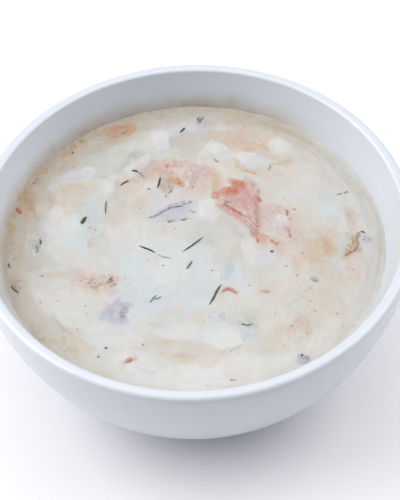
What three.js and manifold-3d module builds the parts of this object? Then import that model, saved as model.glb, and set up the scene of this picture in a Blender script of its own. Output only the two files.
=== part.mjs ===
// A round white porcelain bowl of cream sauce, with tomato, onion and herbs in it.
// Millimetres, +Z up. The origin is under the middle of the foot ring, and +X is to the
// right of a viewer who stands on the -Y side.
import * as THREE from 'three';
import { mergeVertices } from 'three/addons/utils/BufferGeometryUtils.js';
import Module from 'manifold-3d';

const wasm = await Module();
wasm.setup();

const DEGREE = Math.PI / 180;

// ---- Driving dimensions: the bowl ----
const BOWL_HEIGHT = 60;
const RIM_RADIUS = 65;
const RIM_WIDTH = 3.8;
const RIM_OUTER_ROUND = 1.8;
const RIM_INNER_ROUND = 1.2;
const WALL_ARC_RADIUS = 70;
const WALL_LEAN_AT_RIM = 4.5 * DEGREE;
const INNER_WALL_LEAN = 21.4 * DEGREE;
const WALL_THICKNESS_HIGH = 7;
const WALL_THICKNESS_LOW = 6;
const FOOT_RADIUS = 30;
const FOOT_WIDTH = 4.5;
const FOOT_HEIGHT = 2.6;
const FOOT_CHAMFER = 0.5;
const FOOT_RECESS = 1.8;
const FLOOR_HEIGHT = 6.5;
const FLOOR_ARC_RADIUS = 12;
const BOWL_SIDES = 64;
const OUTER_WALL_STEPS = 10;
const INNER_WALL_STEPS = 7;
const RIM_OUTER_STEPS = 4;
const RIM_INNER_STEPS = 3;

// ---- Driving dimensions: the sauce ----
const SAUCE_LEVEL = 48;
const SAUCE_RADIUS = 56.5;
const CLEARANCE = 0.35;
const SAUCE_RINGS = 21;
const SAUCE_SIDES_PER_RING = 6;
const UNDERSIDE_STEPS = 5;
const UNDERSIDE_SIDES = [63, 63, 42, 42, 21, 21];
const ISLAND_RADIUS = 50.3;
const ISLAND_SHIFT = 4;
const ISLAND_SCALLOP = 1.6;
const ISLAND_SCALLOPS = 5;
const ISLAND_SCALLOP_PHASE = 130 * DEGREE;
const ISLAND_RISE = 0.7;
const ISLAND_BANK = 2.6;
const MENISCUS_RISE = 0.5;
const MENISCUS_WIDTH = 1.6;
const WAVE_RISE = 0.16;
const WAVE_LENGTH = 17;
const WAVE_SLANT_X = 0.4;
const WAVE_SLANT_Y = 0.3;

// Soft domes of thick cream: centre, half sizes, turn of the long side, and rise.
const MOUNDS = [
  { x: -10.4, y: 44.0, long: 6.2, short: 4.2, turn: -60, rise: 0.9 },
  { x: -33.9, y: 30.1, long: 5.6, short: 3.4, turn: 5, rise: 0.8 },
  { x: -25.0, y: 23.5, long: 2.9, short: 2.3, turn: 80, rise: 0.9 },
  { x: 6.5, y: 37.6, long: 4.0, short: 3.4, turn: 10, rise: 0.9 },
  { x: 19.0, y: 32.8, long: 5.6, short: 3.2, turn: -25, rise: 1.0 },
  { x: 27.1, y: 39.5, long: 4.2, short: 3.8, turn: -30, rise: 0.8 },
  { x: -37.9, y: 8.9, long: 8.6, short: 7.2, turn: 75, rise: 1.1 },
  { x: 12.9, y: -35.7, long: 7.6, short: 5.4, turn: -20, rise: 0.7 },
  { x: -35.0, y: -24.0, long: 9.0, short: 5.4, turn: -52, rise: 0.6 },
  { x: 1.5, y: 2.5, long: 9.5, short: 5.0, turn: -30, rise: 0.5 },
  { x: 26.0, y: -10.5, long: 6.0, short: 4.0, turn: 40, rise: 0.5 },
  { x: 40.5, y: 14.0, long: 6.5, short: 4.2, turn: -65, rise: 0.5 },
  { x: -13.5, y: -27.5, long: 6.5, short: 4.0, turn: 25, rise: 0.5 },
];

// Stirred ridges: arcs of a circle, steep outside and easing off towards the middle.
const FOLDS = [
  { x: 0.0, y: 0.0, radius: 51.6, from: -32, to: -6, rise: 0.45, reach: 3.0 },
  { x: 5.0, y: -2.0, radius: 48.5, from: 34, to: 88, rise: 0.45, reach: 3.5 },
  { x: 0.0, y: -2.0, radius: 38.5, from: 245, to: 292, rise: 0.4, reach: 4.0 },
  { x: -2.0, y: -4.0, radius: 44.0, from: 206, to: 246, rise: 0.45, reach: 4.0 },
  { x: -4.0, y: -6.0, radius: 25.0, from: 182, to: 262, rise: 0.4, reach: 4.5 },
  { x: 6.0, y: 2.0, radius: 33.0, from: 296, to: 352, rise: 0.4, reach: 4.0 },
  { x: -8.0, y: 8.0, radius: 30.0, from: 118, to: 176, rise: 0.35, reach: 4.0 },
];
const FOLD_LIP = 0.9;
const FOLD_FADE = 9 * DEGREE;

// ---- Driving dimensions: the pieces that lie in the sauce ----
// A chunk has an outline in plan, rises above the sauce and reaches down into it.
const POCKET_REACH = 4;
const CHUNKS = [
  {
    name: 'tomato_main', colour: 0xd9765a, rise: 1.4, depth: 3.2, ripple: 0.4, sides: 38, rings: 7,
    crease: { from: [9.7, 15.5], to: [19.3, 6.9] },
    outline: [
      [5.3, 19.1], [6.6, 22.3], [9.2, 25.5], [13.5, 27.3], [17.7, 25.5], [21.2, 21.2],
      [21.8, 15.9], [20.7, 10.8], [19.9, 6.9], [20.3, 3.3], [19.0, 1.4], [17.1, 4.6],
      [14.2, 7.9], [11.1, 11.3], [7.9, 14.6],
    ],
  },
  {
    name: 'tomato_tail', colour: 0xcf7d62, rise: 0.9, depth: 2.4, ripple: 0.35, sides: 22, rings: 4,
    outline: [
      [21.6, 3.0], [22.8, 3.0], [24.2, 1.8], [25.9, -0.2], [25.9, -2.0], [24.2, -2.2],
      [22.6, -0.9], [21.4, 0.9],
    ],
  },
  {
    name: 'tomato_mid', colour: 0xdfb6a6, rise: 0.7, depth: 3.0, ripple: 0.35, sides: 26, rings: 4,
    outline: [
      [-12.8, 28.6], [-10.2, 32.4], [-5.9, 34.4], [-0.6, 33.2], [2.6, 29.4], [2.8, 23.8],
      [0.6, 20.4], [-3.8, 19.8], [-8.8, 21.0], [-11.9, 24.1],
    ],
  },
  {
    name: 'tomato_left', colour: 0xd8b4a4, rise: 0.6, depth: 2.6, ripple: 0.3, sides: 24, rings: 4,
    outline: [
      [-34.6, -12.2], [-31.6, -9.2], [-27.6, -8.5], [-23.6, -10.4], [-21.8, -13.6],
      [-24.4, -16.4], [-29.2, -16.6], [-33.0, -15.3],
    ],
  },
  {
    name: 'tomato_back', colour: 0xcf9f7c, rise: 0.5, depth: 2.4, ripple: 0.2, sides: 20, rings: 3,
    outline: [
      [-27.4, 46.2], [-24.4, 48.6], [-20.6, 50.4], [-17.6, 50.2], [-18.6, 47.0], [-22.0, 44.4],
      [-25.4, 44.0],
    ],
  },
  {
    name: 'onion_left', colour: 0xb4b2c6, rise: 0.45, depth: 2.2, ripple: 0.2, sides: 20, rings: 3,
    outline: [
      [-26.5, -22.4], [-23.6, -20.2], [-20.4, -20.6], [-19.4, -24.7], [-21.1, -28.6],
      [-24.3, -28.4],
    ],
  },
  {
    name: 'onion_front', colour: 0xb0aac4, rise: 0.5, depth: 2.0, ripple: 0.15, sides: 16, rings: 2,
    outline: [[27.6, -42.9], [29.6, -41.8], [31.7, -42.6], [31.4, -45.1], [28.6, -45.4]],
  },
  {
    name: 'onion_right', colour: 0xbab0d2, rise: 0.5, depth: 1.8, ripple: 0.1, sides: 14, rings: 2,
    outline: [[50.3, 0.4], [51.7, 0.9], [52.7, -0.5], [51.9, -2.2], [50.5, -1.6]],
  },
];
const CHUNK_SINK = 0.25;
const DOME_SQUARENESS = 4;
// Radians per millimetre of the two crossing ripples on a chunk.
const RIPPLE_ALONG = { x: 1.1, y: 0.7 };
const RIPPLE_ACROSS = { x: -0.5, y: 0.9 };
const CREASE_DEPTH = 0.7;
const CREASE_WIDTH = 0.75;

// A strip follows a route in plan and stands a little out of the sauce.
const STRIPS = [
  {
    name: 'onion_strip', colour: 0x9d9fb8, width: 1.5, rise: 0.55, depth: 1.9,
    route: [[-13.6, 11.7], [-10.3, 12.8], [-7.2, 14.6], [-3.4, 16.1], [-0.2, 16.7]],
  },
  {
    name: 'tomato_skin', colour: 0xb9824c, width: 1.7, rise: 0.7, depth: 1.8,
    route: [[44.3, -6.5], [46.4, -4.4], [47.8, -2.3], [47.8, 0.2], [48.6, 2.2]],
  },
];
const STRIP_STEPS = 12;
const STRIP_SIDES = 8;

// Herb threads and leaf tips that lie on the sauce: route in plan, width and thickness.
const HERBS = [
  { route: [[-16.4, 0.8], [-14.9, -0.1], [-13.2, -0.9], [-11.4, -2.4], [-8.8, -3.8]], width: 0.6 },
  { route: [[3.0, 3.6], [1.2, 1.9], [-1.3, -0.3], [-3.7, -1.8]], width: 0.65 },
  { route: [[-0.5, -5.7], [-1.6, -7.2], [-2.4, -8.3]], width: 0.8 },
  { route: [[7.7, -15.1], [5.7, -18.5], [3.8, -22.5]], width: 0.7 },
  { route: [[-18.4, 30.9], [-16.4, 30.4], [-14.6, 27.8]], width: 0.5 },
  { route: [[-26.2, 19.5], [-26.6, 16.2], [-26.5, 13.1]], width: 0.55 },
  { route: [[-1.5, 48.2], [-2.3, 46.8], [-3.2, 45.9]], width: 0.7 },
  { route: [[2.1, 51.8], [2.7, 50.2], [3.6, 48.9]], width: 1.1 },
  { route: [[-31.7, 12.9], [-32.4, 11.2], [-33.5, 9.8]], width: 1.3 },
  { route: [[-22.0, 25.0], [-20.4, 26.4], [-18.8, 26.9]], width: 1.0 },
  { route: [[-12.3, -18.8], [-12.9, -19.8], [-13.5, -21.0]], width: 0.6 },
  { route: [[-46.1, 4.5], [-45.7, 3.3], [-46.1, 2.2]], width: 0.8 },
  { route: [[33.2, -13.4], [34.9, -14.2], [36.6, -15.3]], width: 1.8 },
  { route: [[-51.9, -12.4], [-50.9, -14.2], [-49.7, -15.5]], width: 0.6 },
  { route: [[39.9, 22.3], [41.5, 22.4], [43.0, 22.9]], width: 0.6 },
  { route: [[-55.0, -3.8], [-54.9, -4.9], [-54.5, -6.0]], width: 0.6 },
];
const HERB_THICKNESS = 0.5;
const MID_TOMATO_HERB = { route: [[-9.4, 28.0], [-9.9, 25.6], [-10.2, 23.6]], width: 0.75 };
const MID_TOMATO_HERB_LIFT = 0.8;

// Shreds of tomato skin on the sauce.
const SHREDS = [
  { route: [[7.6, -17.8], [9.6, -16.7], [11.6, -18.3]], width: 1.5 },
  { route: [[-20.6, -42.0], [-19.3, -40.9], [-18.0, -40.7]], width: 1.5 },
  { route: [[-52.4, 17.6], [-51.9, 15.9], [-50.9, 14.3]], width: 1.5 },
  { route: [[8.6, -49.9], [9.4, -49.4], [10.2, -49.9]], width: 0.9 },
  { route: [[18.2, -20.6], [19.8, -20.2], [21.6, -20.5]], width: 0.9 },
  { route: [[-47.9, 26.2], [-47.2, 28.2], [-46.6, 29.8]], width: 1.2 },
];
const SHRED_THICKNESS = 0.8;
const SCRAP_LIFT = 0.1;
const SCRAP_STEPS = 6;
const SCRAP_SIDES = 5;

// Coarse pepper and spice: plan position and radius.
const SPECKS = [
  [22.8, -3.4, 0.6], [30.1, -12.9, 0.45], [33.2, -17.9, 0.45], [33.2, -22.4, 0.45],
  [34.2, -26.1, 0.45], [40.4, -27.2, 0.5], [27.2, -31.3, 0.5], [31.6, -33.7, 0.55],
  [22.6, -26.7, 0.4], [26.8, -9.0, 0.45], [32.1, -4.2, 0.4], [-13.2, 22.9, 0.4],
  [-8.0, 18.2, 0.4], [-9.4, -7.2, 0.4], [50.3, -8.5, 0.4], [-26.0, -36.8, 0.5],
  [-28.5, -40.2, 0.45], [-15.7, -35.8, 0.45], [-36.5, 39.3, 0.5], [-45.0, -9.4, 0.4],
];
// The share of its radius that a speck's middle stands above the sauce.
const SPECK_LIFT = 0.3;

// ---- The height of the sauce ----

// The edge of the thick cream, inside the thin ring of sauce at the wall.
function islandEdge(angle) {
  const scallop = Math.sin(ISLAND_SCALLOPS * angle + ISLAND_SCALLOP_PHASE);
  return ISLAND_RADIUS + ISLAND_SHIFT * Math.cos(angle) + ISLAND_SCALLOP * scallop;
}

function moundHeight(x, y, mound) {
  const turn = mound.turn * DEGREE;
  const along = (x - mound.x) * Math.cos(turn) + (y - mound.y) * Math.sin(turn);
  const across = (y - mound.y) * Math.cos(turn) - (x - mound.x) * Math.sin(turn);
  const away = (along / mound.long) ** 2 + (across / mound.short) ** 2;
  return mound.rise / (1 + away * away);
}

function foldHeight(x, y, fold) {
  const turn = Math.atan2(y - fold.y, x - fold.x);
  const middle = 0.5 * (fold.from + fold.to) * DEGREE;
  const halfSpan = 0.5 * (fold.to - fold.from) * DEGREE;
  const offMiddle = Math.abs(Math.atan2(Math.sin(turn - middle), Math.cos(turn - middle)));
  const window = 1 - THREE.MathUtils.smoothstep(offMiddle, halfSpan - FOLD_FADE, halfSpan + FOLD_FADE);
  const inward = fold.radius - Math.hypot(x - fold.x, y - fold.y);
  const width = inward < 0 ? FOLD_LIP : fold.reach;
  return fold.rise * window * Math.exp(-((inward / width) ** 2));
}

function sauceHeight(x, y) {
  const radius = Math.hypot(x, y);
  const inside = islandEdge(Math.atan2(y, x)) - radius;
  const wave = 2 * Math.PI / WAVE_LENGTH;
  let height = SAUCE_LEVEL;
  height += ISLAND_RISE * THREE.MathUtils.smoothstep(inside, -0.5 * ISLAND_BANK, 0.5 * ISLAND_BANK);
  height += MENISCUS_RISE * Math.exp((radius - SAUCE_RADIUS) / MENISCUS_WIDTH);
  height += WAVE_RISE * Math.sin(wave * (x + WAVE_SLANT_X * y)) * Math.sin(wave * (y - WAVE_SLANT_Y * x));
  for (const mound of MOUNDS) {
    height += moundHeight(x, y, mound);
  }
  for (const fold of FOLDS) {
    height += foldHeight(x, y, fold);
  }
  return height;
}

// ---- Closed solids from rings of points ----

// Triangles between one ring of points and the next, whatever the two counts.
function stitchRings(triangles, near, far) {
  let i = 0;
  let j = 0;
  while (i < near.count || j < far.count) {
    const a = near.start + (i % near.count);
    const b = far.start + (j % far.count);
    const nearIsNext = j >= far.count || (i < near.count && (i + 1) * far.count <= (j + 1) * near.count);
    if (nearIsNext) {
      if (near.count > 1) {
        triangles.push(a, b, near.start + ((i + 1) % near.count));
      }
      i += 1;
    } else {
      if (far.count > 1) {
        triangles.push(a, b, far.start + ((j + 1) % far.count));
      }
      j += 1;
    }
  }
}

// A closed surface through rings of points; the first and the last ring are one point each.
// Seen from the side of the first point, each ring runs anticlockwise.
function ringedGeometry(rings) {
  const positions = [];
  const triangles = [];
  let previous = null;
  for (const ring of rings) {
    const current = { start: positions.length / 3, count: ring.length };
    for (const point of ring) {
      positions.push(point.x, point.y, point.z);
    }
    if (previous) {
      stitchRings(triangles, previous, current);
    }
    previous = current;
  }
  const geometry = new THREE.BufferGeometry();
  geometry.setAttribute('position', new THREE.Float32BufferAttribute(positions, 3));
  geometry.setIndex(triangles);
  return geometry;
}

function solidFrom(geometry) {
  const bare = geometry.clone();
  bare.deleteAttribute('normal');
  bare.deleteAttribute('uv');
  const merged = mergeVertices(bare);
  return new wasm.Manifold(new wasm.Mesh({
    numProp: 3,
    vertProperties: new Float32Array(merged.attributes.position.array),
    triVerts: new Uint32Array(merged.index.array),
  }));
}

function geometryFrom(solid) {
  const mesh = solid.getMesh();
  const geometry = new THREE.BufferGeometry();
  geometry.setAttribute('position', new THREE.Float32BufferAttribute(mesh.vertProperties, 3));
  geometry.setIndex(Array.from(mesh.triVerts));
  return geometry;
}

function join(geometry, extras) {
  let solid = solidFrom(geometry);
  for (const extra of extras) {
    solid = solid.add(solidFrom(extra));
  }
  return geometryFrom(solid);
}

function cut(geometry, tools) {
  let solid = solidFrom(geometry);
  for (const tool of tools) {
    solid = solid.subtract(solidFrom(tool));
  }
  return geometryFrom(solid);
}

// ---- The bowl ----

// A point of the outer wall where it leans by the given angle, moved inward by a thickness.
function wallPoint(lean, thickness) {
  const top = BOWL_HEIGHT - RIM_OUTER_ROUND;
  const radius = RIM_RADIUS - WALL_ARC_RADIUS * (Math.cos(WALL_LEAN_AT_RIM) - Math.cos(lean));
  const height = top - WALL_ARC_RADIUS * (Math.sin(lean) - Math.sin(WALL_LEAN_AT_RIM));
  return new THREE.Vector2(radius - thickness * Math.cos(lean), height + thickness * Math.sin(lean));
}

// The lean of the outer wall where it meets the foot ring.
const LEAN_AT_FOOT = Math.acos(
  Math.cos(WALL_LEAN_AT_RIM) - (RIM_RADIUS - FOOT_RADIUS - FOOT_CHAMFER) / WALL_ARC_RADIUS,
);

function arcPoints(centreX, centreY, radius, from, to, steps) {
  const points = [];
  for (let i = 0; i <= steps; i += 1) {
    const angle = THREE.MathUtils.lerp(from, to, i / steps);
    points.push(new THREE.Vector2(centreX + radius * Math.cos(angle), centreY + radius * Math.sin(angle)));
  }
  return points;
}

// The inside of the bowl from the middle of its floor up to the sauce line, a gap further in.
function innerWallPoints(gap, steps) {
  const low = wallPoint(LEAN_AT_FOOT, WALL_THICKNESS_LOW + gap);
  const floorArcMiddle = low.x - FLOOR_ARC_RADIUS * Math.cos(LEAN_AT_FOOT);
  const floorHeight = FLOOR_HEIGHT + gap;
  const points = [new THREE.Vector2(0, floorHeight), new THREE.Vector2(floorArcMiddle, floorHeight)];
  for (let i = 0; i < steps; i += 1) {
    const along = i / steps;
    const lean = THREE.MathUtils.lerp(LEAN_AT_FOOT, INNER_WALL_LEAN, along);
    const thickness = THREE.MathUtils.lerp(WALL_THICKNESS_LOW, WALL_THICKNESS_HIGH, along);
    points.push(wallPoint(lean, thickness + gap));
  }
  return points;
}

function bowlGeometry() {
  const rimInner = RIM_RADIUS - RIM_WIDTH;
  const footInner = FOOT_RADIUS - FOOT_WIDTH;
  const profile = [
    new THREE.Vector2(0, FOOT_RECESS),
    new THREE.Vector2(footInner - FOOT_CHAMFER, FOOT_RECESS),
    new THREE.Vector2(footInner, 0),
    new THREE.Vector2(FOOT_RADIUS - FOOT_CHAMFER, 0),
    new THREE.Vector2(FOOT_RADIUS, FOOT_CHAMFER),
    new THREE.Vector2(FOOT_RADIUS, FOOT_HEIGHT),
  ];
  for (let i = 0; i < OUTER_WALL_STEPS; i += 1) {
    const lean = THREE.MathUtils.lerp(LEAN_AT_FOOT, WALL_LEAN_AT_RIM, i / OUTER_WALL_STEPS);
    profile.push(wallPoint(lean, 0));
  }
  profile.push(...arcPoints(
    RIM_RADIUS - RIM_OUTER_ROUND, BOWL_HEIGHT - RIM_OUTER_ROUND, RIM_OUTER_ROUND,
    0, 90 * DEGREE, RIM_OUTER_STEPS,
  ));
  profile.push(...arcPoints(
    rimInner + RIM_INNER_ROUND, BOWL_HEIGHT - RIM_INNER_ROUND, RIM_INNER_ROUND,
    90 * DEGREE, 180 * DEGREE - INNER_WALL_LEAN, RIM_INNER_STEPS,
  ));
  profile.push(new THREE.Vector2(SAUCE_RADIUS, SAUCE_LEVEL));
  profile.push(...innerWallPoints(0, INNER_WALL_STEPS).reverse());
  return new THREE.LatheGeometry(profile, BOWL_SIDES).rotateX(90 * DEGREE);
}

// ---- The sauce and what lies in it ----

function circleOfPoints(radius, count, heightAt) {
  const ring = [];
  for (let i = 0; i < count; i += 1) {
    const angle = 2 * Math.PI * i / count;
    const x = radius * Math.cos(angle);
    const y = radius * Math.sin(angle);
    ring.push(new THREE.Vector3(x, y, heightAt(x, y)));
  }
  return ring;
}

function sauceGeometry() {
  const edge = SAUCE_RADIUS - CLEARANCE;
  const rings = [[new THREE.Vector3(0, 0, sauceHeight(0, 0))]];
  for (let i = 1; i <= SAUCE_RINGS; i += 1) {
    rings.push(circleOfPoints(edge * i / SAUCE_RINGS, SAUCE_SIDES_PER_RING * i, sauceHeight));
  }
  const underside = innerWallPoints(CLEARANCE, UNDERSIDE_STEPS).reverse();
  UNDERSIDE_SIDES.forEach((count, i) => {
    rings.push(circleOfPoints(underside[i].x, count, () => underside[i].y));
  });
  rings.push([new THREE.Vector3(0, 0, FLOOR_HEIGHT + CLEARANCE)]);
  return ringedGeometry(rings);
}

// Even points along a smooth closed line through the outline, moved outward by a margin.
function outlinePoints({ outline, sides }, margin) {
  const curve = new THREE.CatmullRomCurve3(outline.map(([x, y]) => new THREE.Vector3(x, y, 0)), true);
  const points = curve.getSpacedPoints(sides).slice(0, sides);
  const clockwise = THREE.ShapeUtils.isClockWise(points);
  const ordered = clockwise ? points.reverse() : points;
  return ordered.map((point, i) => {
    const before = ordered[(i + sides - 1) % sides];
    const after = ordered[(i + 1) % sides];
    const along = after.clone().sub(before).normalize();
    return new THREE.Vector2(point.x + margin * along.y, point.y - margin * along.x);
  });
}

function middleOf(points) {
  const sum = points.reduce((total, point) => total.add(point), new THREE.Vector2());
  return sum.divideScalar(points.length);
}

// The dip along a straight crease in a chunk.
function creaseDepth(x, y, crease) {
  const line = new THREE.Line3(new THREE.Vector3(...crease.from, 0), new THREE.Vector3(...crease.to, 0));
  const point = new THREE.Vector3(x, y, 0);
  const away = line.closestPointToPoint(point, true, new THREE.Vector3()).distanceTo(point);
  return CREASE_DEPTH * Math.exp(-((away / CREASE_WIDTH) ** 2));
}

// The surface of a chunk: a low dome with ripples, easing below the sauce at its edge.
function chunkHeight(x, y, share, chunk) {
  const dome = Math.sqrt(Math.max(0, 1 - share ** DOME_SQUARENESS));
  const along = Math.sin(RIPPLE_ALONG.x * x + RIPPLE_ALONG.y * y);
  const across = Math.cos(RIPPLE_ACROSS.x * x + RIPPLE_ACROSS.y * y);
  const dip = chunk.crease ? creaseDepth(x, y, chunk.crease) : 0;
  const rise = chunk.rise + chunk.ripple * along * across - dip;
  return sauceHeight(x, y) + (rise + CHUNK_SINK) * dome - CHUNK_SINK;
}

function chunkGeometry(chunk) {
  const edge = outlinePoints(chunk, 0);
  const middle = middleOf(edge);
  const bottom = SAUCE_LEVEL - chunk.depth;
  const rings = [[new THREE.Vector3(middle.x, middle.y, chunkHeight(middle.x, middle.y, 0, chunk))]];
  for (let i = 1; i <= chunk.rings; i += 1) {
    const share = i / chunk.rings;
    rings.push(edge.map((point) => {
      const x = THREE.MathUtils.lerp(middle.x, point.x, share);
      const y = THREE.MathUtils.lerp(middle.y, point.y, share);
      return new THREE.Vector3(x, y, chunkHeight(x, y, share, chunk));
    }));
  }
  rings.push(edge.map((point) => new THREE.Vector3(point.x, point.y, bottom)));
  rings.push([new THREE.Vector3(middle.x, middle.y, bottom)]);
  return ringedGeometry(rings);
}

// The hole that a chunk leaves in the sauce, a clearance wider and deeper than the chunk.
function chunkPocket(chunk) {
  const shape = new THREE.Shape(outlinePoints(chunk, CLEARANCE));
  const height = chunk.depth + CLEARANCE + POCKET_REACH;
  const pocket = new THREE.ExtrudeGeometry(shape, { depth: height, bevelEnabled: false });
  return pocket.translate(0, 0, SAUCE_LEVEL - chunk.depth - CLEARANCE);
}

// A long body along a route in plan, pointed at both ends, with an oval section that may
// rise above and reach below its middle line by different amounts.
function ribbonGeometry({ route, width, above, below, steps, sides, lift }) {
  const curve = new THREE.CatmullRomCurve3(route.map(([x, y]) => new THREE.Vector3(x, y, 0)));
  const rings = [];
  for (let i = 0; i <= steps; i += 1) {
    const share = i / steps;
    const point = curve.getPointAt(share);
    const along = curve.getTangentAt(share);
    const height = sauceHeight(point.x, point.y) + lift;
    if (i === 0 || i === steps) {
      rings.push([new THREE.Vector3(point.x, point.y, height)]);
      continue;
    }
    const fullness = Math.sqrt(1 - (2 * share - 1) ** DOME_SQUARENESS);
    const ring = [];
    for (let k = 0; k < sides; k += 1) {
      const angle = 2 * Math.PI * k / sides;
      const across = 0.5 * width * fullness * Math.cos(angle);
      const up = (Math.sin(angle) > 0 ? above : below) * fullness * Math.sin(angle);
      ring.push(new THREE.Vector3(point.x + across * along.y, point.y - across * along.x, height + up));
    }
    rings.push(ring);
  }
  return ringedGeometry(rings);
}

function stripGeometry(strip, margin) {
  return ribbonGeometry({
    route: strip.route,
    width: strip.width + 2 * margin,
    above: strip.rise + margin,
    below: strip.depth + margin,
    steps: STRIP_STEPS,
    sides: STRIP_SIDES,
    lift: 0,
  });
}

// The slot that a strip leaves in the sauce, longer by a clearance at both ends.
function stripSlot(strip) {
  const [first, second] = strip.route.slice(0, 2).map(([x, y]) => new THREE.Vector2(x, y));
  const [last, beforeLast] = strip.route.slice(-2).reverse().map(([x, y]) => new THREE.Vector2(x, y));
  const start = first.clone().add(first.clone().sub(second).setLength(CLEARANCE));
  const end = last.clone().add(last.clone().sub(beforeLast).setLength(CLEARANCE));
  const route = [start.toArray(), ...strip.route.slice(1, -1), end.toArray()];
  return stripGeometry({ ...strip, route, rise: POCKET_REACH }, CLEARANCE);
}

function scrapGeometry(scrap, thickness, lift) {
  return ribbonGeometry({
    route: scrap.route,
    width: scrap.width,
    above: 0.5 * thickness,
    below: 0.5 * thickness,
    steps: SCRAP_STEPS,
    sides: SCRAP_SIDES,
    lift,
  });
}

function speckGeometry([x, y, radius]) {
  const speck = new THREE.IcosahedronGeometry(radius, 0);
  return speck.translate(x, y, sauceHeight(x, y) + SPECK_LIFT * radius);
}

// ---- The model ----

const bowlOfSauce = new THREE.Group();

function addPiece(name, geometry, colour, roughness) {
  geometry.computeVertexNormals();
  const material = new THREE.MeshStandardMaterial({ color: colour, roughness, metalness: 0 });
  const mesh = new THREE.Mesh(geometry, material);
  mesh.name = name;
  bowlOfSauce.add(mesh);
}

const pockets = [...CHUNKS.map(chunkPocket), ...STRIPS.map(stripSlot)];
const scraps = [
  ...HERBS.map((herb) => scrapGeometry(herb, HERB_THICKNESS, SCRAP_LIFT)),
  ...SHREDS.map((shred) => scrapGeometry(shred, SHRED_THICKNESS, SCRAP_LIFT)),
  ...SPECKS.map(speckGeometry),
];
const midTomatoHerb = scrapGeometry(MID_TOMATO_HERB, HERB_THICKNESS, MID_TOMATO_HERB_LIFT);

addPiece('bowl', bowlGeometry(), 0xe9edf2, 0.25);
addPiece('sauce', join(cut(sauceGeometry(), pockets), scraps), 0xe6e3da, 0.4);
for (const chunk of CHUNKS) {
  const herbs = chunk.name === 'tomato_mid' ? [midTomatoHerb] : [];
  addPiece(chunk.name, join(chunkGeometry(chunk), herbs), chunk.colour, 0.4);
}
for (const strip of STRIPS) {
  addPiece(strip.name, stripGeometry(strip, 0), strip.colour, 0.4);
}

export default bowlOfSauce;
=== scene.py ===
import itertools
import math

import bpy
import numpy as np
from mathutils import Matrix, Vector


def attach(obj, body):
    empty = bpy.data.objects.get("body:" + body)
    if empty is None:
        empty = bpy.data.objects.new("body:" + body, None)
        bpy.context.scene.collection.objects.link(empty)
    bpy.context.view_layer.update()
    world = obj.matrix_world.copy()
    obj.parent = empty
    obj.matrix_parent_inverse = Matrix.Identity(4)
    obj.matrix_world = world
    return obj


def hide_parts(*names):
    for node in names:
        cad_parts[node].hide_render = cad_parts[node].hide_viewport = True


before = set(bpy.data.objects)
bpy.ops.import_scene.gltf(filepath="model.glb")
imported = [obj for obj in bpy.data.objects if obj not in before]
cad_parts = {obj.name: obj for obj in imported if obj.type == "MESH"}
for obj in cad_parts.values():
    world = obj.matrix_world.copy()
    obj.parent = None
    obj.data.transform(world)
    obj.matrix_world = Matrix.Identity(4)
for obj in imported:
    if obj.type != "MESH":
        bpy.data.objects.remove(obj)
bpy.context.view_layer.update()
MM = 0.001
NOISE_SEED, TURN_SEED, CELL_SEED, DUST_SEED = 23, 29, 37, 41

# ---- The bowl and the sauce, as in the part ----
BOWL_HEIGHT, RIM_RADIUS, RIM_WIDTH = 60.0, 65.0, 3.8
RIM_OUTER_ROUND, RIM_INNER_ROUND = 1.8, 1.2
WALL_ARC_RADIUS, WALL_LEAN_AT_RIM, INNER_WALL_LEAN = 70.0, math.radians(4.5), math.radians(21.4)
WALL_THICKNESS_HIGH, WALL_THICKNESS_LOW = 7.0, 6.0
FOOT_RADIUS, FOOT_WIDTH, FOOT_HEIGHT, FOOT_CHAMFER, FOOT_RECESS = 30.0, 4.5, 2.6, 0.5, 1.8
FLOOR_HEIGHT, FLOOR_ARC_RADIUS = 6.5, 12.0
LEAN_AT_FOOT = math.acos(math.cos(WALL_LEAN_AT_RIM) - (RIM_RADIUS - FOOT_RADIUS - FOOT_CHAMFER) / WALL_ARC_RADIUS)
SAUCE_LEVEL, SAUCE_RADIUS, SAUCE_OVERLAP, CLEARANCE = 48.0, 56.5, 0.25, 0.35
ISLAND_RADIUS, ISLAND_SHIFT, ISLAND_SCALLOP, ISLAND_SCALLOPS = 50.3, 4.0, 1.6, 5
ISLAND_PHASE, ISLAND_RISE, ISLAND_BANK = math.radians(130), 0.7, 2.6
MENISCUS_RISE, MENISCUS_WIDTH, WAVE_RISE, WAVE_LENGTH = 0.5, 1.6, 0.16, 17.0

# Soft domes of thick cream: x, y, half length, half width, turn, rise.
MOUNDS = (
    (-10.4, 44, 6.2, 4.2, -60, 0.9), (-33.9, 30.1, 5.6, 3.4, 5, 0.8), (-25, 23.5, 2.9, 2.3, 80, 0.9),
    (6.5, 37.6, 4, 3.4, 10, 0.9), (19, 32.8, 5.6, 3.2, -25, 1), (27.1, 39.5, 4.2, 3.8, -30, 0.8),
    (-37.9, 8.9, 8.6, 7.2, 75, 1.1), (12.9, -35.7, 7.6, 5.4, -20, 0.7), (-35, -24, 9, 5.4, -52, 0.6),
    (1.5, 2.5, 9.5, 5, -30, 0.5), (26, -10.5, 6, 4, 40, 0.5), (40.5, 14, 6.5, 4.2, -65, 0.5),
    (-13.5, -27.5, 6.5, 4, 25, 0.5),
)
# Stirred ridges: x, y and radius of the arc, from and to in degrees, rise, inward reach.
FOLDS = (
    (0, 0, 51.6, -32, -6, 0.45, 3), (5, -2, 48.5, 34, 88, 0.45, 3.5), (0, -2, 38.5, 245, 292, 0.4, 4),
    (-2, -4, 44, 206, 246, 0.45, 4), (-4, -6, 25, 182, 262, 0.4, 4.5), (6, 2, 33, 296, 352, 0.4, 4),
    (-8, 8, 30, 118, 176, 0.35, 4),
)
FOLD_LIP, FOLD_FADE = 0.9, math.radians(9)


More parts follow.
